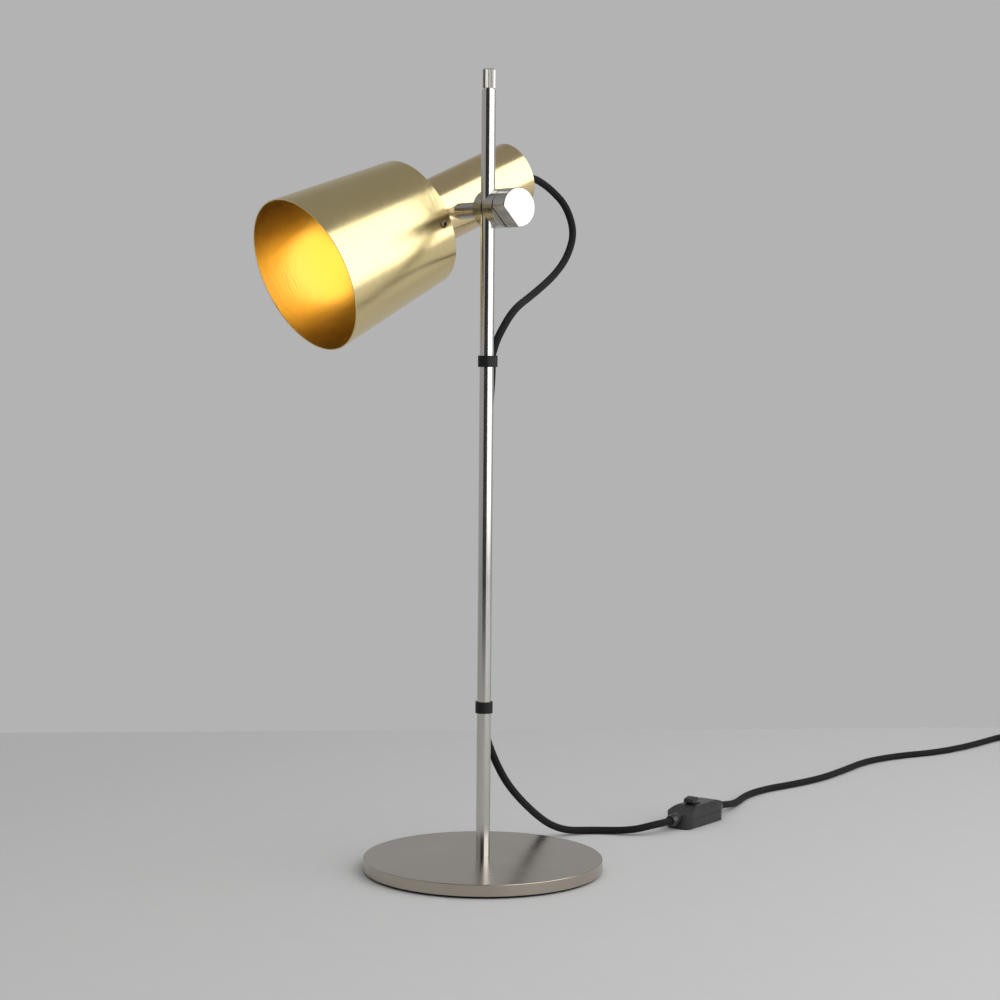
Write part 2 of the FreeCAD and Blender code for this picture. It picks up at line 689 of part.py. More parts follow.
def bulb_outline(inset):
    """Half the bulb's outline, from the cap's rim to the tip of the glass."""
    centre = BULB_BASE + BULB_CENTRE
    radius = BULB_RADIUS - inset
    rim = BULB_BASE + BULB_CAP_LENGTH + inset
    mouth = Vector(BULB_CAP_RADIUS + BULB_LEDGE - inset, 0, rim)
    shoulder = Vector(BULB_SHOULDER_RADIUS - inset, 0, BULB_BASE + BULB_SHOULDER)
    lean = math.radians(122)
    join = Vector(radius * math.sin(lean), 0, centre + radius * math.cos(lean))
    brow = Vector(radius * math.sin(lean / 2), 0, centre + radius * math.cos(lean / 2))
    tip = Vector(0, 0, centre + radius)
    return mouth, [Part.Arc(mouth, shoulder, join).toShape(), Part.Arc(join, brow, tip).toShape()]


def bulb_glass():
    """A blown glass envelope, open at the bottom inside its cap."""
    foot = BULB_BASE + BULB_CAP_FLOOR
    bodies = []
    for inset, low in ((0.0, foot), (BULB_WALL, foot - 1)):
        mouth, arcs = bulb_outline(inset)
        neck = BULB_CAP_RADIUS - BULB_CAP_WALL - FIT - inset
        corners = [mouth, Vector(neck, 0, mouth.z), Vector(neck, 0, low), Vector(0, 0, low),
                   Vector(0, 0, BULB_BASE + BULB_CENTRE + BULB_RADIUS - inset)]
        lines = [Part.LineSegment(corners[index], corners[index + 1]).toShape()
                 for index in range(4)]
        outline = Part.Wire(Part.__sortEdges__(arcs + lines))
        bodies.append(Part.Face(outline).revolve(ORIGIN, Z, 360))
    return in_head(bodies[0].cut(bodies[1]))


def bulb_filament():
    """The glass stem, its two supports and the filament between them."""
    foot = BULB_BASE + BULB_CAP_FLOOR
    top = foot + STEM_LENGTH
    inside = STEM_RADIUS - FILAMENT_WIRE
    pieces = []
    ends = []
    for side in (-1, 1):
        low = Vector(side * inside, 0, top - 2)
        high = Vector(side * FILAMENT_SPAN, 0, top + FILAMENT_RISE)
        ends.append(high)
        pieces.append(Part.makeCylinder(FILAMENT_WIRE, low.distanceToPoint(high), low, high - low))
        pieces.append(Part.makeSphere(FILAMENT_WIRE, high))
    pieces.append(Part.makeCylinder(FILAMENT_WIRE, 2 * FILAMENT_SPAN, ends[0], ends[1] - ends[0]))
    return in_head(rod(STEM_RADIUS, foot, top).fuse(pieces).removeSplitter())


# ---- Inline switch: built along X over the floor, then turned to the cord ----
SWITCH_FRAME = Placement(Vector(SWITCH_CENTRE[0], SWITCH_CENTRE[1], 0),
                         Rotation(Z, SWITCH_HEADING))


def in_switch(shape):
    shape.Placement = SWITCH_FRAME.multiply(shape.Placement)
    return shape


def along_cord(shape):
    """Lays a solid built along Z on the switch's own cord axis."""
    shape.Placement = Placement(Vector(0, 0, SWITCH_AXIS),
                                Rotation(Vector(0, 1, 0), 90)).multiply(shape.Placement)
    return shape


def switch_form(inset):
    """The case's outer form, or a smaller one inside it."""
    end = SWITCH_END - inset
    side = SWITCH_WIDTH / 2 - inset
    roof = SWITCH_HEIGHT - inset
    corner = SWITCH_CORNER - inset
    plan = rounded_face([Vector(-end, -side, inset), Vector(end, -side, inset),
                         Vector(end, side, inset), Vector(-end, side, inset)], [corner] * 4)
    body = plan.extrude(Z * SWITCH_HEIGHT)
    nose = SWITCH_NOSE - inset
    tail = SWITCH_TAIL - inset
    profile = [Vector(-end, -side, inset), Vector(end, -side, inset), Vector(end, -side, tail),
               Vector(end - SWITCH_TAIL_LENGTH, -side, roof),
               Vector(-end + SWITCH_NOSE_LENGTH, -side, roof), Vector(-end, -side, nose)]
    profile = rounded_face(profile, [2.0, 2.0, 3.0, 8.0, 14.0, 4.0])
    body = body.common(profile.extrude(Vector(0, 2 * side, 0)))
    shoulder = SWITCH_SHOULDER - inset
    section = rounded_face([Vector(-end, -side, inset), Vector(-end, side, inset),
                            Vector(-end, side, roof), Vector(-end, -side, roof)],
                           [2.0, 2.0, shoulder, shoulder])
    return body.common(section.extrude(Vector(2 * end, 0, 0)))


def switch_case():
    """Both halves of the case in one: shell, cord collars and screw bosses."""
    outside = switch_form(0.0)
    case = outside.cut(switch_form(SWITCH_WALL))
    screws = case_screw_places()
    bosses = [rod(CASE_BOSS_RADIUS, 0, SWITCH_HEIGHT, x, y).common(switch_form(SWITCH_WALL / 2))
              for x, y in screws]
    for side in (-1, 1):
        collar = turned([(0, SWITCH_END - SWITCH_WALL), (COLLAR_RADIUS, SWITCH_END - SWITCH_WALL),
                         (COLLAR_RADIUS, SWITCH_END + COLLAR_LENGTH / 2),
                         (COLLAR_TIP_RADIUS, SWITCH_TIP), (0, SWITCH_TIP)])
        if side < 0:
            collar.rotate(ORIGIN, Vector(0, 1, 0), 180)
        case = case.fuse(along_cord(collar))
    case = case.fuse(bosses)
    case = case.cut(along_cord(rod(CORD_BORE, -SWITCH_TIP - 1, SWITCH_TIP + 1)))
    seam = outside.cut(switch_form(SWITCH_SEAM))
    half = SWITCH_SEAM / 2
    slab = Part.makeBox(2 * SWITCH_LENGTH, 2 * SWITCH_WIDTH, SWITCH_SEAM,
                        Vector(-SWITCH_LENGTH, -SWITCH_WIDTH, SWITCH_AXIS - half))
    case = case.cut(seam.common(slab))
    holes = []
    for x, y in screws:
        holes.append(rod(CASE_SCREW_HEAD_RADIUS + FIT, -1, CASE_SCREW_HEAD, x, y))
        holes.append(rod(CASE_SCREW_RADIUS + FIT, -1, CASE_SCREW_LENGTH + 0.5, x, y))
    return case.cut(holes)


def case_screw_places():
    return [(CASE_SCREW_STATION, CASE_SCREW_OFFSET), (-CASE_SCREW_STATION, -CASE_SCREW_OFFSET)]


def half_space(low, high):
    """A slab wide enough to take the whole switch."""
    reach = 2 * SWITCH_TIP
    return Part.makeBox(2 * reach, 2 * reach, high - low, Vector(-reach, -reach, low))


def rocker_cylinder(radius, half_width):
    """A cylinder on the rocker's pin."""
    return Part.makeCylinder(radius, 2 * half_width, Vector(ROCKER_STATION, -half_width, SWITCH_AXIS),
                             Vector(0, 1, 0))


def switch_lower_case():
    return in_switch(switch_case().common(half_space(-1, SWITCH_AXIS)))


def switch_upper_case():
    """The upper half, with the slot that hugs the rocker."""
    upper = switch_case().common(half_space(SWITCH_AXIS, SWITCH_HEIGHT + 1))
    slot = rocker_cylinder(ROCKER_RADIUS + ROCKER_CLEARANCE, ROCKER_WIDTH / 2 + ROCKER_CLEARANCE)
    return in_switch(upper.cut(slot))


def switch_rocker():
    """A drum segment with a mushroom tab, leaning to the lamp's side."""
    half_width = ROCKER_WIDTH / 2
    drum = rocker_cylinder(ROCKER_RADIUS, half_width)
    drum = drum.common(half_space(SWITCH_AXIS + ROCKER_FLOOR, SWITCH_HEIGHT + ROCKER_RADIUS))
    top = SWITCH_AXIS + TAB_HEIGHT
    under = top - TAB_THICKNESS
    root = SWITCH_AXIS + ROCKER_RADIUS - 1

    def at(x, z):
        return Vector(ROCKER_STATION + x, -half_width, z)

    outline = [at(-TAB_STALK, root), at(TAB_STALK, root), at(TAB_STALK, under),
               at(TAB_HALF_LENGTH, under), at(TAB_HALF_LENGTH, top), at(-TAB_HALF_LENGTH, top),
               at(-TAB_HALF_LENGTH, under), at(-TAB_STALK, under)]
    rounding = TAB_THICKNESS * 0.8
    tab = rounded_face(outline, [0, 0, 0.4, 0.6, rounding, rounding, 0.6, 0.4])
    rocker = drum.fuse(tab.extrude(Vector(0, ROCKER_WIDTH, 0)))
    bore = rocker_cylinder(ROCKER_PIN_RADIUS + FIT, ROCKER_WIDTH)
    rocker = rocker.cut(bore).removeSplitter()
    rocker.rotate(Vector(ROCKER_STATION, 0, SWITCH_AXIS), Vector(0, 1, 0), -ROCKER_LEAN)
    return in_switch(rocker)


def cheek_span():
    inner = ROCKER_WIDTH / 2 + ROCKER_CLEARANCE
    return inner, inner + CHEEK_THICKNESS


def switch_rocker_pin():
    return in_switch(rocker_cylinder(ROCKER_PIN_RADIUS, cheek_span()[1]))


def switch_terminal_block():
    """The base of the mechanism: end posts, and cheeks that hold the pin."""
    half = BLOCK_LENGTH / 2
    foot = SWITCH_WALL
    block = Part.makeBox(BLOCK_LENGTH, BLOCK_WIDTH, BLOCK_FLOOR,
                         Vector(-half, -BLOCK_WIDTH / 2, foot))
    pieces = []
    for start in (-half, half - BLOCK_POST):
        pieces.append(Part.makeBox(BLOCK_POST, BLOCK_WIDTH, BLOCK_POST_HEIGHT,
                                   Vector(start, -BLOCK_WIDTH / 2, foot)))
    inner, outer = cheek_span()
    height = SWITCH_AXIS + 2 * ROCKER_PIN_RADIUS - foot
    for start in (inner, -outer):
        pieces.append(Part.makeBox(CHEEK_LENGTH, CHEEK_THICKNESS, height,
                                   Vector(ROCKER_STATION - CHEEK_LENGTH / 2, start, foot)))
    block = block.fuse(pieces).cut(rocker_cylinder(ROCKER_PIN_RADIUS + FIT, outer + 1))
    return in_switch(block.removeSplitter())


def switch_leads():
    """The two cord ends in the collars, from each tip to its terminal post."""
    half = BLOCK_LENGTH / 2
    return in_switch(Part.Compound([along_cord(rod(CORD_RADIUS, -SWITCH_TIP, -half)),
                                    along_cord(rod(CORD_RADIUS, half, SWITCH_TIP))]))


def switch_case_screws():
    screws = []
    for x, y in case_screw_places():
        head = rod(CASE_SCREW_HEAD_RADIUS, 0.3, CASE_SCREW_HEAD, x, y)
        head = head.fuse(rod(CASE_SCREW_RADIUS, CASE_SCREW_HEAD, CASE_SCREW_LENGTH, x, y))
        slot = Part.makeBox(4 * CASE_SCREW_HEAD_RADIUS, 0.6, 0.6,
                            Vector(x - 2 * CASE_SCREW_HEAD_RADIUS, y - 0.3, 0))
        screws.append(head.cut(slot).removeSplitter())
    return in_switch(Part.Compound(screws))


# ---- Put-away coil ----
def coil_state(turn):
    """The coil's axis and unit heading after a number of turns."""
    middle = COIL_TURNS / 2
    away = turn - middle
    climb = 0.25
    if abs(away) > climb:
        rise = abs(away) - climb / 2
        slope = math.copysign(1, away)
    else:
        rise = away * away / (2 * climb)
        slope = away / climb
    share = min(max((away + climb) / (2 * climb), 0), 1)
    radius = COIL_INNER + COIL_STEP * rise
    height = CORD_RADIUS + 0.1 + COIL_STEP * share * share * (3 - 2 * share)
    height_rate = COIL_STEP * 6 * share * (1 - share) / (2 * climb)
    angle = math.radians(COIL_START) - 2 * math.pi * turn
    out = Vector(math.cos(angle), math.sin(angle), 0)
    clockwise = Vector(math.sin(angle), -math.cos(angle), 0)
    place = Vector(COIL_CENTRE[0], COIL_CENTRE[1], height) + out * radius
    heading = clockwise * (2 * math.pi * radius) + out * (COIL_STEP * slope) + Z * height_rate
    return place, heading.normalize()


def coil_ends():
    """Where the coil's straight ends begin and finish, and their headings."""
    start, start_heading = coil_state(0)
    end, end_heading = coil_state(COIL_TURNS)
    lead = 2 * CORD_RADIUS
    return start - start_heading * lead, start_heading, end + end_heading * lead, end_heading


def coil_gap():
    """The least space between one turn and the next, sampled on points."""
    steps = 60
    count = round(COIL_TURNS * steps)
    places = [coil_state(index / steps)[0] for index in range(count + 1)]
    least = min(places[first].distanceToPoint(places[second])
                for first in range(count + 1)
                for second in range(first + steps // 2, count + 1))
    return least - 2 * CORD_RADIUS


def cord_coil():
    """Spirals in on the floor, climbs in half a turn, and spirals out on top."""
    first, start_heading, last, end_heading = coil_ends()
    quarters = round(COIL_TURNS * 4)
    states = [coil_state(index / 4) for index in range(quarters + 1)]
    edges = [Part.LineSegment(first, states[0][0]).toShape()]
    for (place, heading), (following, final) in zip(states, states[1:]):
        edges += biarc(place, heading, following, final)
    edges.append(Part.LineSegment(states[-1][0], last).toShape())
    path = Part.Wire(edges)
    solid = swept_cord(path, first, start_heading)
    expected = math.pi * CORD_RADIUS ** 2 * path.Length
    print("cord_coil length", round(path.Length, 1), "volume ratio",
          round(solid.Volume / expected, 4), "least gap", round(coil_gap(), 2))
    return solid


# ---- Cord routes, as points on the cord's axis ----
FLOOR_AXIS = CORD_RADIUS + 0.1
UPPER_CLIP_EXIT = UPPER_CLIP_BOTTOM + CLIP_HEIGHT + 0.1
LOWER_CLIP_EXIT = LOWER_CLIP_BOTTOM - 0.9
GLAND_EXIT = head_point(0, -GLAND_DROP, GLAND_MOUTH)
GLAND_LEAD = head_point(0, -GLAND_DROP, GLAND_MOUTH - 8.6)
HEAD_ROUTE = [tuple(GLAND_EXIT), tuple(GLAND_LEAD), (-94.0, 124.4, 601.3), (-94.6, 136.1, 599.7),
              (-95.6, 148.3, 593.7), (-95.4, 163.3, 577.7), (-89.6, 169.0, 551.2),
              (-84.0, 157.9, 528.8), (-73.5, 135.7, 513.1), (-55.3, 104.7, 500.9),
              (-33.9, 69.8, 489.9), (-13.4, 44.4, 484.6), (-5.6, 24.9, 475.4),
              (-4.2, 13.8, 463.8), (*UPPER_CLIP_CORD, 452.3), (*UPPER_CLIP_CORD, UPPER_CLIP_EXIT)]
UPPER_SPLIT = halfway(HEAD_ROUTE[7], HEAD_ROUTE[8])
LOWER_SPLIT = halfway(HEAD_ROUTE[9], HEAD_ROUTE[10])
POLE_ROUTE = [(*UPPER_CLIP_CORD, UPPER_CLIP_EXIT), (*UPPER_CLIP_CORD, 422.0), (-5.7, 7.8, 400.0),
              (-7.3, 6.3, 366.0), (-7.9, 5.6, 306.0), (-7.6, 6.1, 244.0), (-7.5, 6.1, 190.0),
              (*LOWER_CLIP_CORD, 156.5), (*LOWER_CLIP_CORD, LOWER_CLIP_EXIT)]
NEAR_ROUTE = [(*LOWER_CLIP_CORD, LOWER_CLIP_EXIT), (*LOWER_CLIP_CORD, 126.6), (-8.0, 8.1, 115.8),
              (-9.3, 14.3, 102.2), (-14.0, 27.0, 83.5), (-23.0, 43.5, 67.0), (-33.0, 62.0, 52.5),
              (-45.0, 83.0, 38.5), (-56.5, 105.0, 24.5), (-64.5, 127.0, 12.0),
              (-66.0, 147.0, 4.6), (-60.6, 166.0, FLOOR_AXIS), (-50.3, 179.3, 3.5),
              (-38.9, 189.5, 4.1), (-29.6, 198.7, 5.7), (-24.7, 208.0, 7.8), (-22.5, 217.6, 9.2)]
FAR_ROUTE = [(-60.5, 346.0, 6.5), (-75.0, 369.0, FLOOR_AXIS), (-95.0, 400.0, FLOOR_AXIS),
             (-107.0, 437.0, FLOOR_AXIS), (-109.0, 482.0, FLOOR_AXIS), (-116.0, 530.0, FLOOR_AXIS),
             (-135.0, 583.0, FLOOR_AXIS), (-156.0, 636.0, FLOOR_AXIS),
             (-159.0, 688.0, FLOOR_AXIS), (-150.0, 738.0, FLOOR_AXIS),
             (-153.0, 788.0, FLOOR_AXIS), (-164.0, 838.0, FLOOR_AXIS),
             (-173.5, 876.0, FLOOR_AXIS)]


def switch_point(station):
    """A point on the cord's axis through the switch."""
    return SWITCH_FRAME.multVec(Vector(station, 0, SWITCH_AXIS))


def near_route():
    """From the lower clip down to the floor and into the switch."""
    return NEAR_ROUTE + [tuple(switch_point(-SWITCH_TIP - 9.5)), tuple(switch_point(-SWITCH_TIP))]


def far_route():
    """From the switch along the floor to the coil."""
    first, heading, _, _ = coil_ends()
    return ([tuple(switch_point(SWITCH_TIP)), tuple(switch_point(SWITCH_TIP + 9))] + FAR_ROUTE
            + [tuple(first - heading * 14), tuple(first)])


def plug_frame():
    """The plug lies on its side beside the coil, its Z pointing along +X."""
    _, _, last, _ = coil_ends()
    return Placement(Vector(last.x + 41.5, last.y - 1.0, PLUG_RADIUS + 0.1),
                     Rotation(Vector(0, 1, 0), 90))


def plug_route():
    """From the coil's upper layer up to the plug's strain relief."""
    _, _, last, heading = coil_ends()
    end = plug_frame().Base
    rise = end.z - last.z
    span = end.x - last.x
    return [tuple(last), tuple(last + heading * 8), (last.x + span * 0.40, last.y - 0.2,
                                                     last.z + rise * 0.27),
            (last.x + span * 0.61, last.y - 0.6, last.z + rise * 0.75),
            (end.x - 8, end.y, end.z), tuple(end)]


# ---- Plug ----
def in_plug(shape):
    shape.Placement = plug_frame().multiply(shape.Placement)
    return shape


def plug_relief():
    """A tapered moulded sleeve with shallow rings cut in it."""
    sleeve = turned([(0, 0), (PLUG_RELIEF_TIP, 0), (PLUG_RELIEF_RADIUS, PLUG_RELIEF),
                     (0, PLUG_RELIEF)])
    pitch = PLUG_RELIEF / (PLUG_GROOVES + 1)
    for index in range(PLUG_GROOVES):
        station = pitch * (index + 1)
        radius = PLUG_RELIEF_TIP + (PLUG_RELIEF_RADIUS - PLUG_RELIEF_TIP) * station / PLUG_RELIEF
        sleeve = sleeve.cut(ring(PLUG_RELIEF_RADIUS + 1, radius - 0.7, station - 0.8, station + 0.8))
    return in_plug(sleeve)


def plug_body():
    """A round moulded plug with a waisted grip."""
    start = PLUG_RELIEF
    end = start + PLUG_LENGTH
    body = turned([(0, start), (PLUG_GRIP_RADIUS - 1, start), (PLUG_GRIP_RADIUS, start + 1),
                   (PLUG_GRIP_RADIUS + 1.5, start + 8), (PLUG_RADIUS - 1.5, start + 17),
                   (PLUG_RADIUS, start + 19), (PLUG_RADIUS, end - 1), (PLUG_RADIUS - 1, end),
                   (0, end)])
    holes = [rod(PLUG_PIN_RADIUS + FIT, end - PLUG_PIN_ROOT, end + 1, 0, side * PIN_SPACING / 2)
             for side in (-1, 1)]
    return in_plug(body.cut(holes))


def plug_pins():
    root = PLUG_RELIEF + PLUG_LENGTH - PLUG_PIN_ROOT
    tip = root + PLUG_PIN_ROOT + PLUG_PIN_LENGTH
    edge = PLUG_PIN_RADIUS * 0.4
    pins = []
    for side in (-1, 1):
        pin = turned([(0, root), (PLUG_PIN_RADIUS, root), (PLUG_PIN_RADIUS, tip - edge),
                      (PLUG_PIN_RADIUS - edge, tip), (0, tip)])
        pin.translate(Vector(0, side * PIN_SPACING / 2, 0))
        pins.append(pin)
    return in_plug(Part.Compound(pins))


# ---- The finished pieces ----
def pieces():
    """Every node of the lamp by name."""
    return {
        "base_plate": base_plate(),
        "base_foot_pad": base_foot_pad(),
        "pole_base_screw": pole_base_screw(),
        "pole_base_washer": pole_base_washer(),
        "pole": pole(),
        "pole_cap": pole_cap(),
        "upper_cord_clip": cord_clip(UPPER_CLIP_BOTTOM, UPPER_CLIP_CORD),
        "lower_cord_clip": cord_clip(LOWER_CLIP_BOTTOM, LOWER_CLIP_CORD),
        "rear_jaw": jaw(REAR_JAW_END, -JAW_SPLIT / 2),
        "front_jaw": jaw(JAW_SPLIT / 2, FRONT_JAW_END),
        "friction_washer": friction_washer(),
        "knob_washer": knob_washer(),
        "clamp_knob": clamp_knob(),
        "clamp_bolt": clamp_bolt(),
        "pivot_pin": pivot_pin(),
        "pin_washer": pin_washer(),
        "pin_nut": pin_nut(),
        "neck_tube": neck_tube(),
        "neck_end_cap": neck_end_cap(),
        "cord_gland": cord_gland(),
        "inner_lead": inner_lead(),
        "shade": shade(),
        "shade_mount": shade_mount(),
        "shade_screws": shade_screws(),
        "lampholder_body": lampholder_body(),
        "lampholder_ring": lampholder_ring(),
        "lampholder_insert": lampholder_insert(),
        "lampholder_contact": lampholder_contact(),
        "bulb_cap": bulb_cap(),
        "bulb_glass": bulb_glass(),
        "bulb_filament": bulb_filament(),
        "head_cord_upper": cord("head_cord_upper", HEAD_ROUTE[:8] + [UPPER_SPLIT]),
        "head_cord_middle": cord("head_cord_middle",
                                 [UPPER_SPLIT] + HEAD_ROUTE[8:10] + [LOWER_SPLIT]),
        "head_cord_lower": cord("head_cord_lower", [LOWER_SPLIT] + HEAD_ROUTE[10:]),
        "pole_cord": cord("pole_cord", POLE_ROUTE),
        "floor_cord_near": cord("floor_cord_near", near_route()),
        "floor_cord_far": cord("floor_cord_far", far_route()),
        "cord_coil": cord_coil(),
        "plug_cord": cord("plug_cord", plug_route()),
        "plug_relief": plug_relief(),
        "plug_body": plug_body(),
        "plug_pins": plug_pins(),
        "switch_lower_case": switch_lower_case(),
        "switch_upper_case": switch_upper_case(),
        "switch_rocker": switch_rocker(),
        "switch_rocker_pin": switch_rocker_pin(),
        "switch_terminal_block": switch_terminal_block(),
        "switch_leads": switch_leads(),
        "switch_case_screws": switch_case_screws(),
    }


def main():
    os.makedirs("parts", exist_ok=True)
    for name, shape in pieces().items():
        shape.exportStep("parts/" + name + ".step")
        print(name, "solids", len(shape.Solids), "volume", round(shape.Volume, 1), "valid",
              shape.isValid())


if __name__ == "__main__":
    main()
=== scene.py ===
"""Desk lamp with a tapered brass shade: finishes, cord, studio and camera.

Metres, +Z up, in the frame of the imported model. It is laid out as an add-on
and run as a script.
"""

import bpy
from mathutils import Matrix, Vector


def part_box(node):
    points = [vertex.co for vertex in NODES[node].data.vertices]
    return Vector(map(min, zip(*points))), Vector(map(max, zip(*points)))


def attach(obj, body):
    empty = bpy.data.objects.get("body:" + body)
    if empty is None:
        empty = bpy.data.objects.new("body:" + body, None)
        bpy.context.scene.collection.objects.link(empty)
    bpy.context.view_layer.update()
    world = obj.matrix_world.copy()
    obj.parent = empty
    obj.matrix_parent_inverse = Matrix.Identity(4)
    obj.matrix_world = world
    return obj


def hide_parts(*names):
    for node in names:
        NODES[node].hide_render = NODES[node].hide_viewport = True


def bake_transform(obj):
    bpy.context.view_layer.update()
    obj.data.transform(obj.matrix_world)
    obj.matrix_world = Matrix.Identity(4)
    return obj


bl_info = {
    "name": "Desk Lamp",
    "version": (1, 0, 0),
    "blender": (4, 5, 0),
    "location": "3D View > Sidebar > Desk Lamp",
    "description": "Builds the visual pieces of a clamp-head desk lamp",
    "category": "Object",
}

import math

import bmesh
import bpy
from bpy.props import FloatProperty, FloatVectorProperty, IntProperty, PointerProperty
from mathutils import Matrix, Vector

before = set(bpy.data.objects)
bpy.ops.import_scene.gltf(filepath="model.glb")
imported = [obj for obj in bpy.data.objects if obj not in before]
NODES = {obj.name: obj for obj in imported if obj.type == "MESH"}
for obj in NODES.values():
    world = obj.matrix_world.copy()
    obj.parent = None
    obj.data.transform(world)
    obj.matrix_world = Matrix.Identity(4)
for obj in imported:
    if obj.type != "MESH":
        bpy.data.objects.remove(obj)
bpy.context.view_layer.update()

MM = 0.001

# ---- Camera: solved from the pole, the base's circle and the shade's rims ----
CAMERA_PLACE = Vector((1.5260, -1.1536, 0.4487))
CAMERA_AHEAD = Vector((-0.792, 0.6067, -0.068))
CAMERA_RIGHT = Vector((0.6076, 0.7942, 0.0083))
CAMERA_LENS = 81.43
SENSOR_WIDTH = 36.0

# ---- Studio ----
# The floor's far edge is the line where the floor meets the backdrop.
FLOOR_CORNERS = [
    (-2.217, -2.146, 0.0), (1.991, -4.847, 0.0), (5.326, 0.349, 0.0), (1.119, 3.05, 0.0)]
ZENITH = (0.27, 0.27, 0.27, 1.0)
# Tones of the dark card, a sheet that paints a dark reflection into the metals.
DARK_REFLECTION_SHADES = ((0.02, 0.02, 0.02, 1.0), (0.03, 0.03, 0.03, 1.0))

# ---- Head axis: stations run along it from the tilt pivot ----
HEAD_PIVOT = Vector((-0.0935, 0.0095, 0.564))
HEAD_TILT = 23.5
HEAD_FRAME = Matrix.Translation(HEAD_PIVOT) @ Matrix.Rotation(math.radians(90 + HEAD_TILT), 4, "X")
HEAD_TURN = (math.radians(-90 - HEAD_TILT), 0.0, 0.0)
NECK_REAR = -96.6 * MM
NECK_FRONT = 24.1 * MM
SHADE_REAR = 23.0 * MM
SHADE_FRONT = 144.5 * MM
SHADE_LIP_RADIUS = 52.0 * MM
SHADE_SCREW_STATION = 32.3 * MM

# ---- Colours of the small fittings, in linear light ----
FASTENER_STEEL = (0.55, 0.54, 0.52, 1.0)
SCREW_BRASS = (0.16, 0.125, 0.075, 1.0)
MOUNT_STEEL = (0.52, 0.50, 0.47, 1.0)
CONTACT_BRASS = (0.70, 0.52, 0.24, 1.0)
BULB_CAP_METAL = (0.62, 0.61, 0.58, 1.0)
PLUG_PIN_METAL = (0.66, 0.62, 0.52, 1.0)
OPAL_SHADES = ((0.86, 0.84, 0.80, 1.0), (0.92, 0.90, 0.86, 1.0))
FILAMENT_STRENGTH = 8.0

# ---- Grain of the metals: noise cells in a metre along X, Y and Z ----
FITTING_GRAIN = (900.0, 900.0, 900.0)
HEAD_GRAIN = (60.0, 60.0, 1500.0)

# ---- Cord routes: control points of the cord's line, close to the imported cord's ----
CORD_DIAMETER = 0.0066
GLAND_EXIT = (-0.0935, 0.10571, 0.59602)
UPPER_SPLIT = (-0.0798, 0.14543, 0.52311)
LOWER_SPLIT = (-0.04519, 0.08647, 0.49553)
HEAD_CORD_UPPER = [
    GLAND_EXIT, (-0.0935, 0.1136, 0.59945), (-0.09506, 0.12301, 0.6005),
    (-0.09652, 0.13359, 0.59716), (-0.0973, 0.14608, 0.59093), (-0.09598, 0.16254, 0.5773),
    (-0.09038, 0.16798, 0.55331), (-0.08514, 0.15641, 0.53134), UPPER_SPLIT]
HEAD_CORD_MIDDLE = [
    UPPER_SPLIT, (-0.07446, 0.13445, 0.51487), (-0.05607, 0.10369, 0.50163), LOWER_SPLIT]
HEAD_CORD_LOWER = [
    LOWER_SPLIT, (-0.03431, 0.06926, 0.48943), (-0.01372, 0.04398, 0.48323),
    (-0.00667, 0.02962, 0.47467), (-0.00379, 0.01843, 0.46199), (-0.00238, 0.01128, 0.45185),
    (-0.0042, 0.0089, 0.4405)]
# Points that split the loop behind the neck: up to the first it goes with the clamp, past the
# second with the head; the cord step lists them but moves nothing by them.
LOOP_FOLLOWS_CLAMP = (-0.09, 0.15, 0.525)
LOOP_FOLLOWS_HEAD = (-0.09, 0.09, 0.58)
POLE_CORD = [
    (-0.0042, 0.0089, 0.4405), (-0.0042, 0.0089, 0.422), (-0.0057, 0.0078, 0.4),
    (-0.0073, 0.0063, 0.366), (-0.0079, 0.0056, 0.306), (-0.0076, 0.0061, 0.244),
    (-0.0075, 0.0061, 0.19), (-0.0077, 0.0058, 0.1565), (-0.0077, 0.0058, 0.1355)]
FLOOR_CORD_NEAR = [
    (-0.0077, 0.0058, 0.1355), (-0.0077, 0.0058, 0.1266), (-0.008, 0.0081, 0.1158),
    (-0.0093, 0.0143, 0.1022), (-0.014, 0.027, 0.0835), (-0.023, 0.0435, 0.067),
    (-0.033, 0.062, 0.0525), (-0.045, 0.083, 0.0385), (-0.0565, 0.105, 0.0245),
    (-0.0645, 0.127, 0.012), (-0.066, 0.147, 0.0046), (-0.0606, 0.166, 0.0034),
    (-0.0503, 0.1793, 0.0035), (-0.0389, 0.1895, 0.0041), (-0.0296, 0.1987, 0.0057),
    (-0.0247, 0.208, 0.0078), (-0.0225, 0.2176, 0.0092), (-0.02274, 0.22762, 0.0095),
    (-0.02539, 0.23675, 0.0095)]
FLOOR_CORD_FAR = [
    (-0.05001, 0.32185, 0.0095), (-0.05252, 0.3305, 0.0095), (-0.0605, 0.346, 0.0065),
    (-0.075, 0.369, 0.0034), (-0.095, 0.4, 0.0034), (-0.107, 0.437, 0.0034),
    (-0.109, 0.482, 0.0034), (-0.116, 0.53, 0.0034), (-0.135, 0.583, 0.0034),
    (-0.156, 0.636, 0.0034), (-0.159, 0.688, 0.0034), (-0.15, 0.738, 0.0034),
    (-0.153, 0.788, 0.0034), (-0.164, 0.838, 0.0034), (-0.1735, 0.876, 0.0034),
    (-0.17487, 0.89841, 0.0034)]
PLUG_LEAD = [
    (-0.1254, 0.96148, 0.0108), (-0.11741, 0.96171, 0.0108), (-0.1088, 0.96128, 0.01284),
    (-0.10009, 0.96088, 0.01646), (-0.0919, 0.96048, 0.01835), (-0.0839, 0.96048, 0.01835)]
COIL_CENTRE = (-0.132, 0.919)
COIL_RADIUS = 0.0423
COIL_TURNS = 3.25
COIL_STEP = 0.0074
COIL_START = 180.0


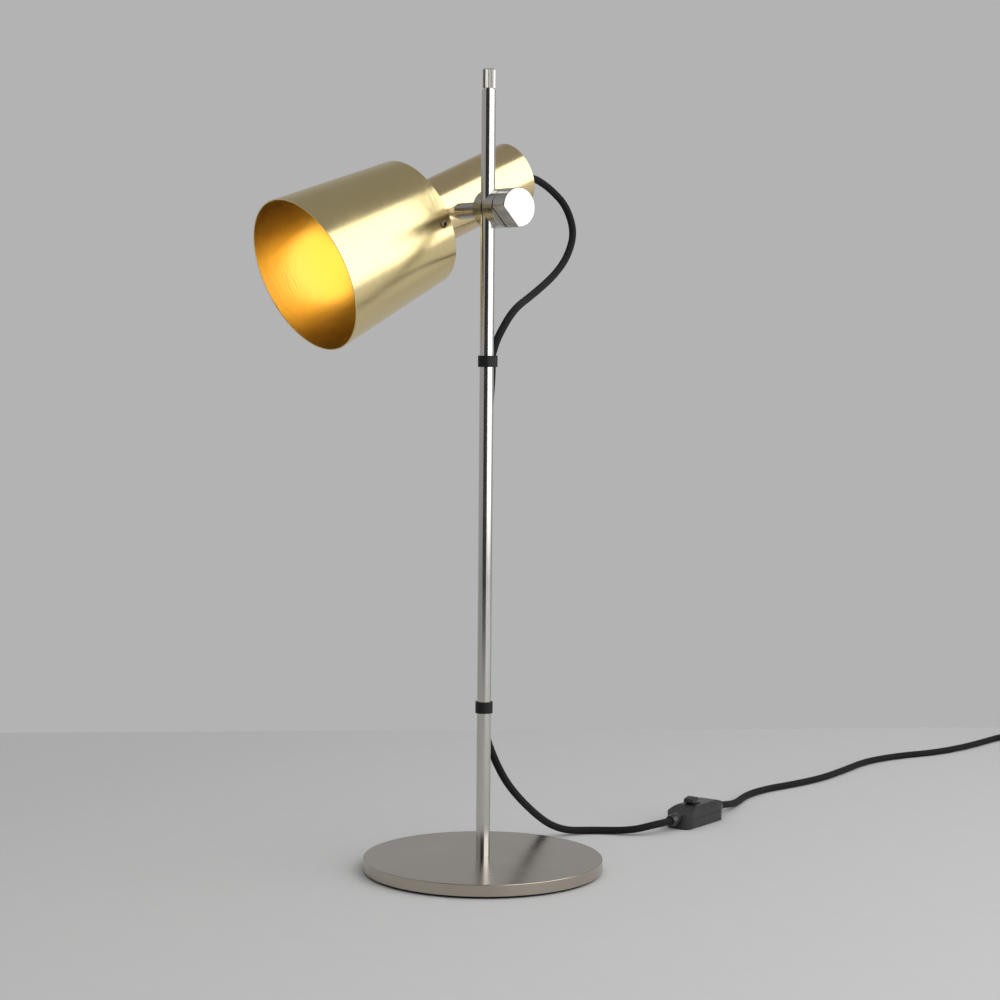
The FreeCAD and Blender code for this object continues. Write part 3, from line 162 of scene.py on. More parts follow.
# ---- Settings ----
class LampSizes(bpy.types.PropertyGroup):
    """Sizes of the pieces that are turned or repeated."""

    segments: IntProperty(
        name="Turned Segments", description="Faces round a turned piece", default=160, min=24)
    base_radius: FloatProperty(
        name="Base Radius", description="Radius of the base plate",
        default=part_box("base_plate")[1].x, unit="LENGTH")
    base_foot: FloatProperty(
        name="Base Underside", description="Height of the base plate's underside",
        default=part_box("base_plate")[0].z, unit="LENGTH")
    base_top: FloatProperty(
        name="Base Top", description="Height of the base plate's top face",
        default=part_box("base_plate")[1].z, unit="LENGTH")
    neck_radius: FloatProperty(
        name="Neck Radius", description="Outer radius of the neck tube", default=0.029,
        unit="LENGTH")
    neck_wall: FloatProperty(
        name="Neck Wall", description="Wall of the neck tube", default=0.0012, unit="LENGTH")
    shade_rear_radius: FloatProperty(
        name="Shade Rear Radius", description="Outer radius where the shade starts",
        default=0.057, unit="LENGTH")
    shade_front_radius: FloatProperty(
        name="Shade Front Radius", description="Outer radius at the shade's open end",
        default=0.0684, unit="LENGTH")
    shade_wall: FloatProperty(
        name="Shade Wall", description="Wall of the shade", default=0.001, unit="LENGTH")
    shade_screws: IntProperty(
        name="Shade Screws", description="Screws round the shade's rear", default=3, min=1)
    cap_flutes: IntProperty(
        name="Cap Flutes", description="Flutes round the pole's cap", default=24, min=6)
    cord_sides: IntProperty(
        name="Cord Sides", description="Faces round the cord", default=16, min=8)
    braid_strands: FloatProperty(
        name="Braid Strands", description="Strands of each hand round the cord", default=12.0)


class LampColours(bpy.types.PropertyGroup):
    """Colours of the finishes, in linear light."""

    brass: FloatVectorProperty(
        name="Shade Brass", description="Satin pale brass of the shade", subtype="COLOR", size=4,
        min=0.0, max=1.0, default=(0.84, 0.69, 0.36, 1.0))
    warm_brass: FloatVectorProperty(
        name="Neck Brass", description="Warmer brass of the neck tube", subtype="COLOR", size=4,
        min=0.0, max=1.0, default=(0.84, 0.66, 0.37, 1.0))
    steel: FloatVectorProperty(
        name="Base Steel", description="Brushed nickel of the base and clamp", subtype="COLOR",
        size=4, min=0.0, max=1.0, default=(0.47, 0.42, 0.36, 1.0))
    pole_steel: FloatVectorProperty(
        name="Pole Steel", description="Satin steel of the pole", subtype="COLOR", size=4,
        min=0.0, max=1.0, default=(0.62, 0.60, 0.56, 1.0))
    cord: FloatVectorProperty(
        name="Cord", description="Black textile of the cord", subtype="COLOR", size=4,
        min=0.0, max=1.0, default=(0.005, 0.005, 0.0054, 1.0))
    plastic: FloatVectorProperty(
        name="Plastic", description="Black plastic of switch, clips and plug", subtype="COLOR",
        size=4, min=0.0, max=1.0, default=(0.005, 0.005, 0.0054, 1.0))
    bulb_light: FloatVectorProperty(
        name="Bulb Light", description="Light of the lit bulb", subtype="COLOR", size=4,
        min=0.0, max=1.0, default=(1.0, 0.62, 0.13, 1.0))


class LampStudio(bpy.types.PropertyGroup):
    """Floor, backdrop and lamps of the studio."""

    floor: FloatVectorProperty(
        name="Floor", description="Matte pale floor", subtype="COLOR", size=4, min=0.0, max=1.0,
        default=(0.455, 0.455, 0.455, 1.0))
    backdrop: FloatVectorProperty(
        name="Backdrop", description="Even backdrop behind the lamp", subtype="COLOR", size=4,
        min=0.0, max=1.0, default=(0.451, 0.451, 0.455, 1.0))
    key_power: FloatProperty(
        name="Key Power", description="Power of the softbox on the right", default=40.0,
        unit="POWER")
    fill_power: FloatProperty(
        name="Fill Power", description="Power of the overhead fill", default=110.0, unit="POWER")
    bulb_strength: FloatProperty(
        name="Bulb Strength", description="Emission of the lit bulb", default=1.9)


# ---- Meshes ----
def link(name, mesh):
    """A new object that shows a mesh."""
    obj = bpy.data.objects.new(name, mesh)
    bpy.context.scene.collection.objects.link(obj)
    return obj


def face_outwards(mesh):
    """Turns a closed single-shell mesh right side out."""
    form = bmesh.new()
    form.from_mesh(mesh)
    bmesh.ops.recalc_face_normals(form, faces=form.faces[:])
    if form.calc_volume(signed=True) < 0:
        bmesh.ops.reverse_faces(form, faces=form.faces[:])
    form.to_mesh(mesh)
    form.free()


def settled(obj, placement=None):
    """The object's evaluated mesh as a plain piece, with its place in the mesh."""
    depsgraph = bpy.context.evaluated_depsgraph_get()
    mesh = bpy.data.meshes.new_from_object(obj.evaluated_get(depsgraph))
    name = obj.name
    source = obj.data
    bpy.data.objects.remove(obj)
    bpy.data.meshes.remove(source)
    if placement is not None:
        mesh.transform(placement)
    face_outwards(mesh)
    mesh.name = name
    return link(name, mesh)


def crisp(obj, angle=35.0):
    """Smooth faces whose shading stays flat on flats, by area-weighted normals."""
    obj.data.shade_smooth()
    obj.data.set_sharp_from_angle(angle=math.radians(angle))
    modifier = obj.modifiers.new("Weighted Normal", "WEIGHTED_NORMAL")
    modifier.weight = 100
    modifier.keep_sharp = True
    return obj


def outline(name, points, closed):
    """A mesh of one line of (radius, station) points in the XZ plane."""
    mesh = bpy.data.meshes.new(name)
    count = len(points)
    edges = [(index, (index + 1) % count) for index in range(count if closed else count - 1)]
    mesh.from_pydata([(radius, 0.0, station) for radius, station in points], edges, [])
    return link(name, mesh)


# ---- Geometry node trees ----
def new_tree(name, inputs):
    """A geometry tree with a geometry in and out and the named inputs."""
    tree = bpy.data.node_groups.new(name, "GeometryNodeTree")
    tree.is_modifier = True
    tree.interface.new_socket("Geometry", in_out="INPUT", socket_type="NodeSocketGeometry")
    for label, kind, default in inputs:
        socket = tree.interface.new_socket(label, in_out="INPUT", socket_type="NodeSocket" + kind)
        if default is not None:
            socket.default_value = default
    tree.interface.new_socket("Geometry", in_out="OUTPUT", socket_type="NodeSocketGeometry")
    return tree, tree.nodes.new("NodeGroupInput"), tree.nodes.new("NodeGroupOutput")


def node(tree, kind, links=None, **settings):
    """A node with its settings, its inputs set to values or linked to sockets."""
    made = tree.nodes.new(kind)
    for key, value in settings.items():
        setattr(made, key, value)
    for key, value in (links or {}).items():
        socket = made.inputs[key]
        if isinstance(value, bpy.types.NodeSocket):
            tree.links.new(value, socket)
        else:
            socket.default_value = value
    return made


def calc(tree, operation, first, second=0.0, third=None):
    """The result of one math node."""
    values = {0: first, 1: second}
    if third is not None:
        values[2] = third
    return node(tree, "ShaderNodeMath", values, operation=operation).outputs[0]


def turned_tree():
    """Turns an outline round Z, with its corners rounded first."""
    tree, given, result = new_tree("turned_form", [
        ("Segments", "Int", 160), ("Edge Radius", "Float", 0.0004), ("Edge Steps", "Int", 3),
        ("Closed", "Bool", True), ("Material", "Material", None)])
    line = node(tree, "GeometryNodeMeshToCurve", {"Mesh": given.outputs["Geometry"]})
    position = node(tree, "GeometryNodeInputPosition")
    corner = node(tree, "ShaderNodeSeparateXYZ", {0: position.outputs[0]})
    off_axis = calc(tree, "GREATER_THAN", corner.outputs["X"], 1e-6)
    rounding = calc(tree, "MULTIPLY", off_axis, given.outputs["Edge Radius"])
    rounded = node(tree, "GeometryNodeFilletCurve",
                   {"Curve": line.outputs[0], "Radius": rounding,
                    "Count": given.outputs["Edge Steps"], "Limit Radius": True}, mode="POLY")
    size = node(tree, "GeometryNodeAttributeDomainSize", {0: rounded.outputs[0]},
                component="CURVE")
    points = size.outputs["Point Count"]
    stations = calc(tree, "ADD", points, given.outputs["Closed"])
    around = calc(tree, "ADD", given.outputs["Segments"], 1.0)
    grid = node(tree, "GeometryNodeMeshGrid", {"Vertices X": around, "Vertices Y": stations})
    index = node(tree, "GeometryNodeInputIndex").outputs[0]
    column = calc(tree, "FLOOR", calc(tree, "DIVIDE", calc(tree, "ADD", index, 0.5), stations))
    row = calc(tree, "SUBTRACT", index, calc(tree, "MULTIPLY", column, stations))
    angle = calc(tree, "DIVIDE", calc(tree, "MULTIPLY", column, 2 * math.pi),
                 given.outputs["Segments"])
    station = calc(tree, "MODULO", calc(tree, "ADD", row, 0.01), points)
    sample = node(tree, "GeometryNodeSampleIndex",
                  {"Geometry": rounded.outputs[0], "Value": position.outputs[0],
                   "Index": calc(tree, "FLOOR", station)},
                  data_type="FLOAT_VECTOR", domain="POINT")
    profile = node(tree, "ShaderNodeSeparateXYZ", {0: sample.outputs[0]})
    place = node(tree, "ShaderNodeCombineXYZ", {
        0: calc(tree, "MULTIPLY", profile.outputs["X"], calc(tree, "COSINE", angle)),
        1: calc(tree, "MULTIPLY", profile.outputs["X"], calc(tree, "SINE", angle)),
        2: profile.outputs["Z"]})
    form = node(tree, "GeometryNodeSetPosition",
                {"Geometry": grid.outputs[0], "Position": place.outputs[0]})
    welded = node(tree, "GeometryNodeMergeByDistance",
                  {"Geometry": form.outputs[0], "Distance": 1e-6})
    smooth = node(tree, "GeometryNodeSetShadeSmooth", {"Geometry": welded.outputs[0]})
    real = node(tree, "GeometryNodeRealizeInstances", {"Geometry": smooth.outputs[0]})
    dressed = node(tree, "GeometryNodeSetMaterial",
                   {"Geometry": real.outputs[0], "Material": given.outputs["Material"]})
    tree.links.new(dressed.outputs[0], result.inputs[0])
    return tree


def fluted_tree(turned):
    """A turned form with flutes cut between two stations."""
    tree, given, result = new_tree("fluted_grip", [
        ("Flutes", "Int", 24), ("Flute Depth", "Float", 0.00045), ("Flute Foot", "Float", 0.0),
        ("Edge Radius", "Float", 0.0002), ("Material", "Material", None)])
    flutes = given.outputs["Flutes"]
    body = node(tree, "GeometryNodeGroup", node_tree=turned)
    tree.links.new(given.outputs["Geometry"], body.inputs["Geometry"])
    tree.links.new(calc(tree, "MULTIPLY", flutes, 12.0), body.inputs["Segments"])
    tree.links.new(given.outputs["Edge Radius"], body.inputs["Edge Radius"])
    tree.links.new(given.outputs["Material"], body.inputs["Material"])
    body.inputs["Closed"].default_value = False
    position = node(tree, "GeometryNodeInputPosition")
    place = node(tree, "ShaderNodeSeparateXYZ", {0: position.outputs[0]})
    angle = calc(tree, "ARCTAN2", place.outputs["Y"], place.outputs["X"])
    wave = calc(tree, "COSINE", calc(tree, "MULTIPLY", angle, flutes))
    hollow = calc(tree, "MULTIPLY_ADD", wave, 0.5, 0.5)
    hollow = calc(tree, "MULTIPLY", calc(tree, "POWER", hollow, 0.7), given.outputs["Flute Depth"])
    above = calc(tree, "GREATER_THAN", place.outputs["Z"], given.outputs["Flute Foot"])
    depth = calc(tree, "MULTIPLY", calc(tree, "MULTIPLY", hollow, above), -1.0)
    flat = node(tree, "ShaderNodeCombineXYZ", {0: place.outputs["X"], 1: place.outputs["Y"]})
    outward = node(tree, "ShaderNodeVectorMath", {0: flat.outputs[0]}, operation="NORMALIZE")
    shift = node(tree, "ShaderNodeVectorMath", {0: outward.outputs[0]}, operation="SCALE")
    tree.links.new(depth, shift.inputs["Scale"])
    cut = node(tree, "GeometryNodeSetPosition",
               {"Geometry": body.outputs[0], "Offset": shift.outputs[0]})
    real = node(tree, "GeometryNodeRealizeInstances", {"Geometry": cut.outputs[0]})
    dressed = node(tree, "GeometryNodeSetMaterial",
                   {"Geometry": real.outputs[0], "Material": given.outputs["Material"]})
    tree.links.new(dressed.outputs[0], result.inputs[0])
    return tree


def screw_ring_tree(turned):
    """Button-head screws with a hexagon socket, standing out round a shade."""
    tree, given, result = new_tree("shade_screw_ring", [
        ("Screws", "Int", 3), ("Circle Radius", "Float", 0.05787), ("Station", "Float", 0.0323),
        ("Lean", "Float", 0.0), ("Socket Across Flats", "Float", 0.002),
        ("Socket Floor", "Float", 0.0007), ("Material", "Material", None)])
    head = node(tree, "GeometryNodeGroup", node_tree=turned)
    tree.links.new(given.outputs["Geometry"], head.inputs["Geometry"])
    tree.links.new(given.outputs["Material"], head.inputs["Material"])
    head.inputs["Segments"].default_value = 48
    head.inputs["Edge Radius"].default_value = 0.0001
    head.inputs["Closed"].default_value = False
    reach = 0.003
    corner = calc(tree, "DIVIDE", given.outputs["Socket Across Flats"], math.sqrt(3))
    key = node(tree, "GeometryNodeMeshCylinder", {"Vertices": 6, "Radius": corner, "Depth": reach})
    lift = node(tree, "ShaderNodeCombineXYZ",
                {2: calc(tree, "ADD", given.outputs["Socket Floor"], reach / 2)})
    bit = node(tree, "GeometryNodeTransform",
               {"Geometry": key.outputs["Mesh"], "Translation": lift.outputs[0]})
    socket = node(tree, "GeometryNodeMeshBoolean", operation="DIFFERENCE", solver="EXACT")
    tree.links.new(head.outputs[0], socket.inputs["Mesh 1"])
    tree.links.new(bit.outputs[0], socket.inputs["Mesh 2"])
    ring = node(tree, "GeometryNodeMeshCircle",
                {"Vertices": given.outputs["Screws"], "Radius": given.outputs["Circle Radius"]})
    level = node(tree, "ShaderNodeCombineXYZ", {2: given.outputs["Station"]})
    raised = node(tree, "GeometryNodeTransform",
                  {"Geometry": ring.outputs[0], "Translation": level.outputs[0]})
    index = node(tree, "GeometryNodeInputIndex").outputs[0]
    turn = calc(tree, "DIVIDE", calc(tree, "MULTIPLY", index, 2 * math.pi),
                given.outputs["Screws"])
    tip = calc(tree, "ADD", given.outputs["Lean"], math.pi / 2)
    rotation = node(tree, "ShaderNodeCombineXYZ", {1: tip, 2: turn})
    placed = node(tree, "GeometryNodeInstanceOnPoints",
                  {"Points": raised.outputs[0], "Instance": socket.outputs["Mesh"],
                   "Rotation": rotation.outputs[0]})
    real = node(tree, "GeometryNodeRealizeInstances", {"Geometry": placed.outputs[0]})
    dressed = node(tree, "GeometryNodeSetMaterial",
                   {"Geometry": real.outputs[0], "Material": given.outputs["Material"]})
    tree.links.new(dressed.outputs[0], result.inputs[0])
    return tree


def apply_tree(obj, tree, values):
    """Adds a tree as a modifier and sets its named inputs by identifier."""
    modifier = obj.modifiers.new(tree.name, "NODES")
    modifier.node_group = tree
    identifiers = {item.name: item.identifier for item in tree.interface.items_tree
                   if item.item_type == "SOCKET" and item.in_out == "INPUT"}
    for label, value in values.items():
        modifier[identifiers[label]] = value
    obj.update_tag()


def turned_piece(name, points, material, edge, placement=None, steps=3):
    """A turned piece with a closed outline, made by the shared tree, as a plain mesh."""
    sizes = bpy.context.scene.lamp_sizes
    tree = bpy.data.node_groups.get("turned_form") or turned_tree()
    obj = outline(name, points, True)
    apply_tree(obj, tree, {"Segments": sizes.segments, "Edge Radius": edge,
                           "Edge Steps": steps, "Closed": True, "Material": material})
    return crisp(settled(obj, placement))


# ---- Cord ----
def route_line(name, route):
    """Points along the smooth line that a cord's route controls."""
    curve = bpy.data.curves.new(name + "_route", "CURVE")
    curve.dimensions = "3D"
    curve.resolution_u = 14
    spline = curve.splines.new("NURBS")
    spline.points.add(len(route) - 1)
    for point, place in zip(spline.points, route):
        point.co = (*place, 1.0)
    spline.order_u = 3
    spline.use_endpoint_u = True
    obj = link(name + "_route", curve)
    depsgraph = bpy.context.evaluated_depsgraph_get()
    mesh = bpy.data.meshes.new_from_object(obj.evaluated_get(depsgraph))
    line = [vertex.co.copy() for vertex in mesh.vertices]
    bpy.data.objects.remove(obj)
    bpy.data.curves.remove(curve)
    bpy.data.meshes.remove(mesh)
    apart = line[:1]
    for place in line[1:]:
        if (place - apart[-1]).length > 1e-5:
            apart.append(place)
    return apart


def coil_route():
    """The coil's control points: in on the floor, up a layer, and out on top."""
    middle = COIL_TURNS / 2
    climb = 0.25
    inner = COIL_RADIUS - COIL_STEP * (middle - climb / 2)
    points = []
    steps = 16
    for index in range(round(COIL_TURNS * steps) + 1):
        turn = index / steps
        away = turn - middle
        spread = abs(away) - climb / 2 if abs(away) > climb else away * away / (2 * climb)
        share = min(max((away + climb) / (2 * climb), 0.0), 1.0)
        radius = inner + COIL_STEP * spread
        height = CORD_DIAMETER / 2 + 0.0001 + COIL_STEP * share * share * (3 - 2 * share)
        angle = math.radians(COIL_START) - 2 * math.pi * turn
        points.append((COIL_CENTRE[0] + radius * math.cos(angle),
                       COIL_CENTRE[1] + radius * math.sin(angle), height))
    return points


def tube(name, line, diameter, sides):
    """A closed tube along a line, its UV map in turns round and metres along."""
    count = len(line)
    headings = []
    for index in range(count):
        before = line[max(index - 1, 0)]
        after = line[min(index + 1, count - 1)]
        headings.append((after - before).normalized())
    side = headings[0].orthogonal().normalized()
    vertices = []
    along = [0.0]
    for index in range(count):
        if index:
            along.append(along[-1] + (line[index] - line[index - 1]).length)
            side = headings[index - 1].rotation_difference(headings[index]) @ side
            side = (side - headings[index] * side.dot(headings[index])).normalized()
        across = headings[index].cross(side)
        for step in range(sides):
            angle = 2 * math.pi * step / sides
            vertices.append(line[index] + (side * math.cos(angle) + across * math.sin(angle))
                            * diameter / 2)
    faces = []
    corners = []
    for index in range(count - 1):
        for step in range(sides):
            following = (step + 1) % sides
            faces.append((index * sides + step, index * sides + following,
                          (index + 1) * sides + following, (index + 1) * sides + step))
            corners += [(step / sides, along[index]), ((step + 1) / sides, along[index]),
                        ((step + 1) / sides, along[index + 1]), (step / sides, along[index + 1])]
    faces.append(tuple(reversed(range(sides))))
    faces.append(tuple(range((count - 1) * sides, count * sides)))
    corners += [(0.0, 0.0)] * (2 * sides)
    mesh = bpy.data.meshes.new(name)
    mesh.from_pydata(vertices, [], faces)
    layer = mesh.uv_layers.new(name="UVMap")
    for corner, place in zip(layer.data, corners):
        corner.uv = place
    mesh.shade_smooth()
    mesh.set_sharp_from_angle(angle=math.radians(60))
    return link(name, mesh)


# ---- Finishes ----
def finish(name):
    """A new material: its tree and its principled shader."""
    material = bpy.data.materials.new(name)
    material.use_nodes = True
    return material, material.node_tree, material.node_tree.nodes["Principled BSDF"]


def grain(tree, scale, detail=4.0, turn=(0.0, 0.0, 0.0)):
    """Noise on object coordinates, stretched by a mapping."""
    coordinates = node(tree, "ShaderNodeTexCoord")
    mapping = node(tree, "ShaderNodeMapping", {"Vector": coordinates.outputs["Object"],
                                               "Rotation": turn})
    stretch = node(tree, "ShaderNodeMapping", {"Vector": mapping.outputs[0], "Scale": scale})
    return node(tree, "ShaderNodeTexNoise", {"Vector": stretch.outputs[0], "Scale": 1.0,
                                             "Detail": detail}).outputs[0]


def spread(tree, value, low, high, source=(0.25, 0.75)):
    """Maps a value from one range to another."""
    return node(tree, "ShaderNodeMapRange", {"Value": value, "From Min": source[0],
                                             "From Max": source[1], "To Min": low,
                                             "To Max": high}).outputs[0]


def tinted(tree, factor, first, second):
    """A colour between two, by a factor."""
    mix = node(tree, "ShaderNodeMix", data_type="RGBA")
    tree.links.new(factor, mix.inputs[0])
    mix.inputs[6].default_value = first
    mix.inputs[7].default_value = second
    return mix.outputs[2]


def shaded(colour, share):
    """A colour made lighter or darker."""
    return (*[min(channel * share, 1.0) for channel in colour[:3]], 1.0)


def relief(tree, shader, height, strength, distance):
    """A bump on a shader's normal."""
    bump = node(tree, "ShaderNodeBump", {"Height": height, "Strength": strength,
                                         "Distance": distance})
    tree.links.new(bump.outputs[0], shader.inputs["Normal"])


def brushed_metal(name, colour, roughness, lines, turn=(0.0, 0.0, 0.0), contrast=0.12,
                  smudge=0.05, strength=0.10, depth=0.00003):
    """Satin metal with fine lines, patches of wear and uneven gloss."""
    material, tree, shader = finish(name)
    shader.inputs["Metallic"].default_value = 1.0
    fine = grain(tree, lines, 3.0, turn)
    patches = grain(tree, (26.0, 26.0, 26.0), 5.0)
    tone = calc(tree, "ADD", spread(tree, fine, -contrast, contrast),
                spread(tree, patches, 0.5 - smudge, 0.5 + smudge))
    tree.links.new(tinted(tree, tone, shaded(colour, 0.86), shaded(colour, 1.12)),
                   shader.inputs["Base Color"])
    gloss = calc(tree, "ADD", spread(tree, fine, -0.02, 0.02),
                 spread(tree, patches, roughness - 0.03, roughness + 0.03))
    tree.links.new(gloss, shader.inputs["Roughness"])
    relief(tree, shader, fine, strength, depth)
    return material


def moulded_plastic(name, colour, roughness, texture=1400.0, strength=0.25, gloss=0.3):
    """Black plastic with a fine moulded texture and handling marks."""
    material, tree, shader = finish(name)
    shader.inputs["Specular IOR Level"].default_value = gloss
    pebbles = grain(tree, (texture,) * 3, 2.0)
    marks = grain(tree, (60.0, 60.0, 60.0), 6.0)
    tree.links.new(tinted(tree, marks, shaded(colour, 0.7), shaded(colour, 1.6)),
                   shader.inputs["Base Color"])
    uneven = calc(tree, "ADD", spread(tree, pebbles, -0.04, 0.04),
                  spread(tree, marks, roughness - 0.05, roughness + 0.07))
    tree.links.new(uneven, shader.inputs["Roughness"])
    relief(tree, shader, pebbles, strength, 0.00004)
    return material


def braided_textile(name, colour, strands):
    """Black braid: two hands of yarn over and under, on the cord's UV map, with painted shade
    between the strands.
    """
    material, tree, shader = finish(name)
    uv = node(tree, "ShaderNodeUVMap", uv_map="UVMap")
    place = node(tree, "ShaderNodeSeparateXYZ", {0: uv.outputs[0]})
    around = calc(tree, "MULTIPLY", place.outputs["X"], strands)
    pitch = strands / (math.pi * CORD_DIAMETER)
    along = calc(tree, "MULTIPLY", place.outputs["Y"], pitch)
    right = calc(tree, "ADD", around, along)
    left = calc(tree, "SUBTRACT", around, along)
    crowns = []
    for hand in (right, left):
        part = calc(tree, "FRACT", hand)
        crowns.append(calc(tree, "MULTIPLY", calc(tree, "MULTIPLY", part,
                                                  calc(tree, "SUBTRACT", 1.0, part)), 4.0))
    cell = calc(tree, "ADD", calc(tree, "FLOOR", right), calc(tree, "FLOOR", left))
    over = calc(tree, "FLOORED_MODULO", cell, 2.0)
    height = node(tree, "ShaderNodeMix", {0: over, 2: crowns[0], 3: crowns[1]}, data_type="FLOAT")
    fuzz = grain(tree, (2600.0, 2600.0, 2600.0), 3.0)
    weave_height_and_shade = calc(tree, "MULTIPLY_ADD", fuzz, 0.35, height.outputs[0])
    # Painted shade and painted highlight: the colour darkens into the grooves between strands and
    # lightens on their crowns, by the weave's height.
    tree.links.new(tinted(tree, spread(tree, weave_height_and_shade, 0.0, 1.0, (0.1, 1.3)),
                          shaded(colour, 0.35), shaded(colour, 2.2)),
                   shader.inputs["Base Color"])
    tree.links.new(spread(tree, fuzz, 0.62, 0.85), shader.inputs["Roughness"])
    shader.inputs["Specular IOR Level"].default_value = 0.18
    shader.inputs["Sheen Weight"].default_value = 0.02
    shader.inputs["Sheen Roughness"].default_value = 0.4
    relief(tree, shader, weave_height_and_shade, 0.7, 0.0003)
    return material


def lit_glass(name, colour, strength):
    """Opal glass of a lit bulb, a little cloudy."""
    material, tree, shader = finish(name)
    clouds = grain(tree, (30.0, 30.0, 30.0), 2.0)
    tree.links.new(tinted(tree, clouds, *OPAL_SHADES), shader.inputs["Base Color"])
    tree.links.new(spread(tree, clouds, 0.18, 0.30), shader.inputs["Roughness"])
    shader.inputs["Emission Color"].default_value = colour
    shader.inputs["Emission Strength"].default_value = strength
    return material


def kept(material, slot, *names):
    """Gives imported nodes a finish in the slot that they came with."""
    for name in names:
        for place in NODES[name].material_slots:
            if place.material is None or place.material.name.split(".")[0] == slot:
                place.material = material
            else:
                raise RuntimeError(name + " has no slot " + slot)


def dressed(obj, body, slot, *replaced):
    """Sets a finished piece on its body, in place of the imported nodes."""
    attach(obj, body)
    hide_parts(*replaced)


# ---- Operators ----
class LAMP_OT_camera(bpy.types.Operator):
    """Set the camera at the photograph's viewing angle"""

    bl_idname = "desk_lamp.camera"
    bl_label = "Camera"

    def execute(self, context):
        data = bpy.data.cameras.new("camera")
        data.lens = CAMERA_LENS
        data.sensor_width = SENSOR_WIDTH
        data.clip_start = 0.05
        data.clip_end = 30.0
        camera = link("camera", data)
        ahead = CAMERA_AHEAD.normalized()
        right = (CAMERA_RIGHT - ahead * CAMERA_RIGHT.dot(ahead)).normalized()
        above = right.cross(ahead)
        camera.matrix_world = Matrix((
            (right.x, above.x, -ahead.x, CAMERA_PLACE.x),
            (right.y, above.y, -ahead.y, CAMERA_PLACE.y),
            (right.z, above.z, -ahead.z, CAMERA_PLACE.z), (0.0, 0.0, 0.0, 1.0)))
        context.scene.camera = camera
        return {"FINISHED"}


class LAMP_OT_cords(bpy.types.Operator):
    """Lay the braided cord from the head to the plug"""

    bl_idname = "desk_lamp.cords"
    bl_label = "Cord"

    def execute(self, context):
        sizes = context.scene.lamp_sizes
        colours = context.scene.lamp_colours
        braid = braided_textile("black_braid", tuple(colours.cord), sizes.braid_strands)
        parts = [
            ("head_cord_upper_braid", HEAD_CORD_UPPER, ["head_cord_upper"], ("clamp", "head"),
             (LOOP_FOLLOWS_CLAMP, LOOP_FOLLOWS_HEAD), "object", "hanging", ()),
            ("head_cord_middle_braid", HEAD_CORD_MIDDLE, ["head_cord_middle"], ("swivel", "clamp"),
             (LOWER_SPLIT, UPPER_SPLIT), "object", "hanging", ()),
            ("head_cord_lower_braid", HEAD_CORD_LOWER, ["head_cord_lower"], ("stand", "swivel"),
             (HEAD_CORD_LOWER[-1], LOWER_SPLIT), "object", "hanging", ()),
            ("pole_cord_braid", POLE_CORD, ["pole_cord"], "stand", None, "object", "hanging", ()),
            ("floor_cord_near_braid", FLOOR_CORD_NEAR, ["floor_cord_near"], "stand", None,
             "fitting", "loose",
             ("switch_lower_case", "switch_upper_case", "switch_rocker", "switch_rocker_pin",
              "switch_terminal_block", "switch_leads", "switch_case_screws")),
            ("floor_cord_far_braid", FLOOR_CORD_FAR + coil_route() + PLUG_LEAD,
             ["floor_cord_far", "cord_coil", "plug_cord"], "stand", None, "plug", "coiled",
             ("plug_relief", "plug_body", "plug_pins")),
        ]
        for name, route, replaced, body, span, far_end, lay, fittings in parts:
            line = route_line(name, route)
            obj = tube(name, line, CORD_DIAMETER, sizes.cord_sides)
            obj.data.materials.append(braid)
            if span is None:
                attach(obj, body)
            else:
                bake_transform(obj)
            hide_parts(*replaced)
        kept(braid, "cord_black", "inner_lead", "switch_leads")
        return {"FINISHED"}


class LAMP_OT_base(bpy.types.Operator):
    """Turn the base plate and finish its pad and screw"""

    bl_idname = "desk_lamp.base"
    bl_label = "Base"

    def execute(self, context):
        sizes = context.scene.lamp_sizes
        colours = context.scene.lamp_colours
        steel = brushed_metal("brushed_base_steel", tuple(colours.steel), 0.24,
                              (60.0, 1500.0, 1500.0), turn=(0.0, 0.0, math.radians(-37.0)),
                              contrast=0.03, strength=0.02)
        top, foot = sizes.base_top, sizes.base_foot
        seat, recess = top - 3 * MM, foot + 4.5 * MM
        socket_radius, recess_radius, bore = 6.05 * MM, 8.5 * MM, 3.05 * MM
        plate = turned_piece("base_disc", [
            (socket_radius, top), (sizes.base_radius, top), (sizes.base_radius, foot),
            (recess_radius, foot), (recess_radius, recess), (bore, recess), (bore, seat),
            (socket_radius, seat)], steel, edge=0.6 * MM)
        dressed(plate, "stand", "base_steel", "base_plate")
        rubber = moulded_plastic("foot_rubber", tuple(colours.plastic), 0.72, 900.0, 0.5)
        kept(rubber, "foot_rubber", "base_foot_pad")
        bright = brushed_metal("fastener_steel", FASTENER_STEEL, 0.28, FITTING_GRAIN)
        kept(bright, "fastener_steel", "pole_base_screw", "pole_base_washer", "friction_washer",
             "knob_washer", "clamp_bolt", "pin_washer", "pin_nut", "switch_case_screws",
             "switch_rocker_pin")
        return {"FINISHED"}


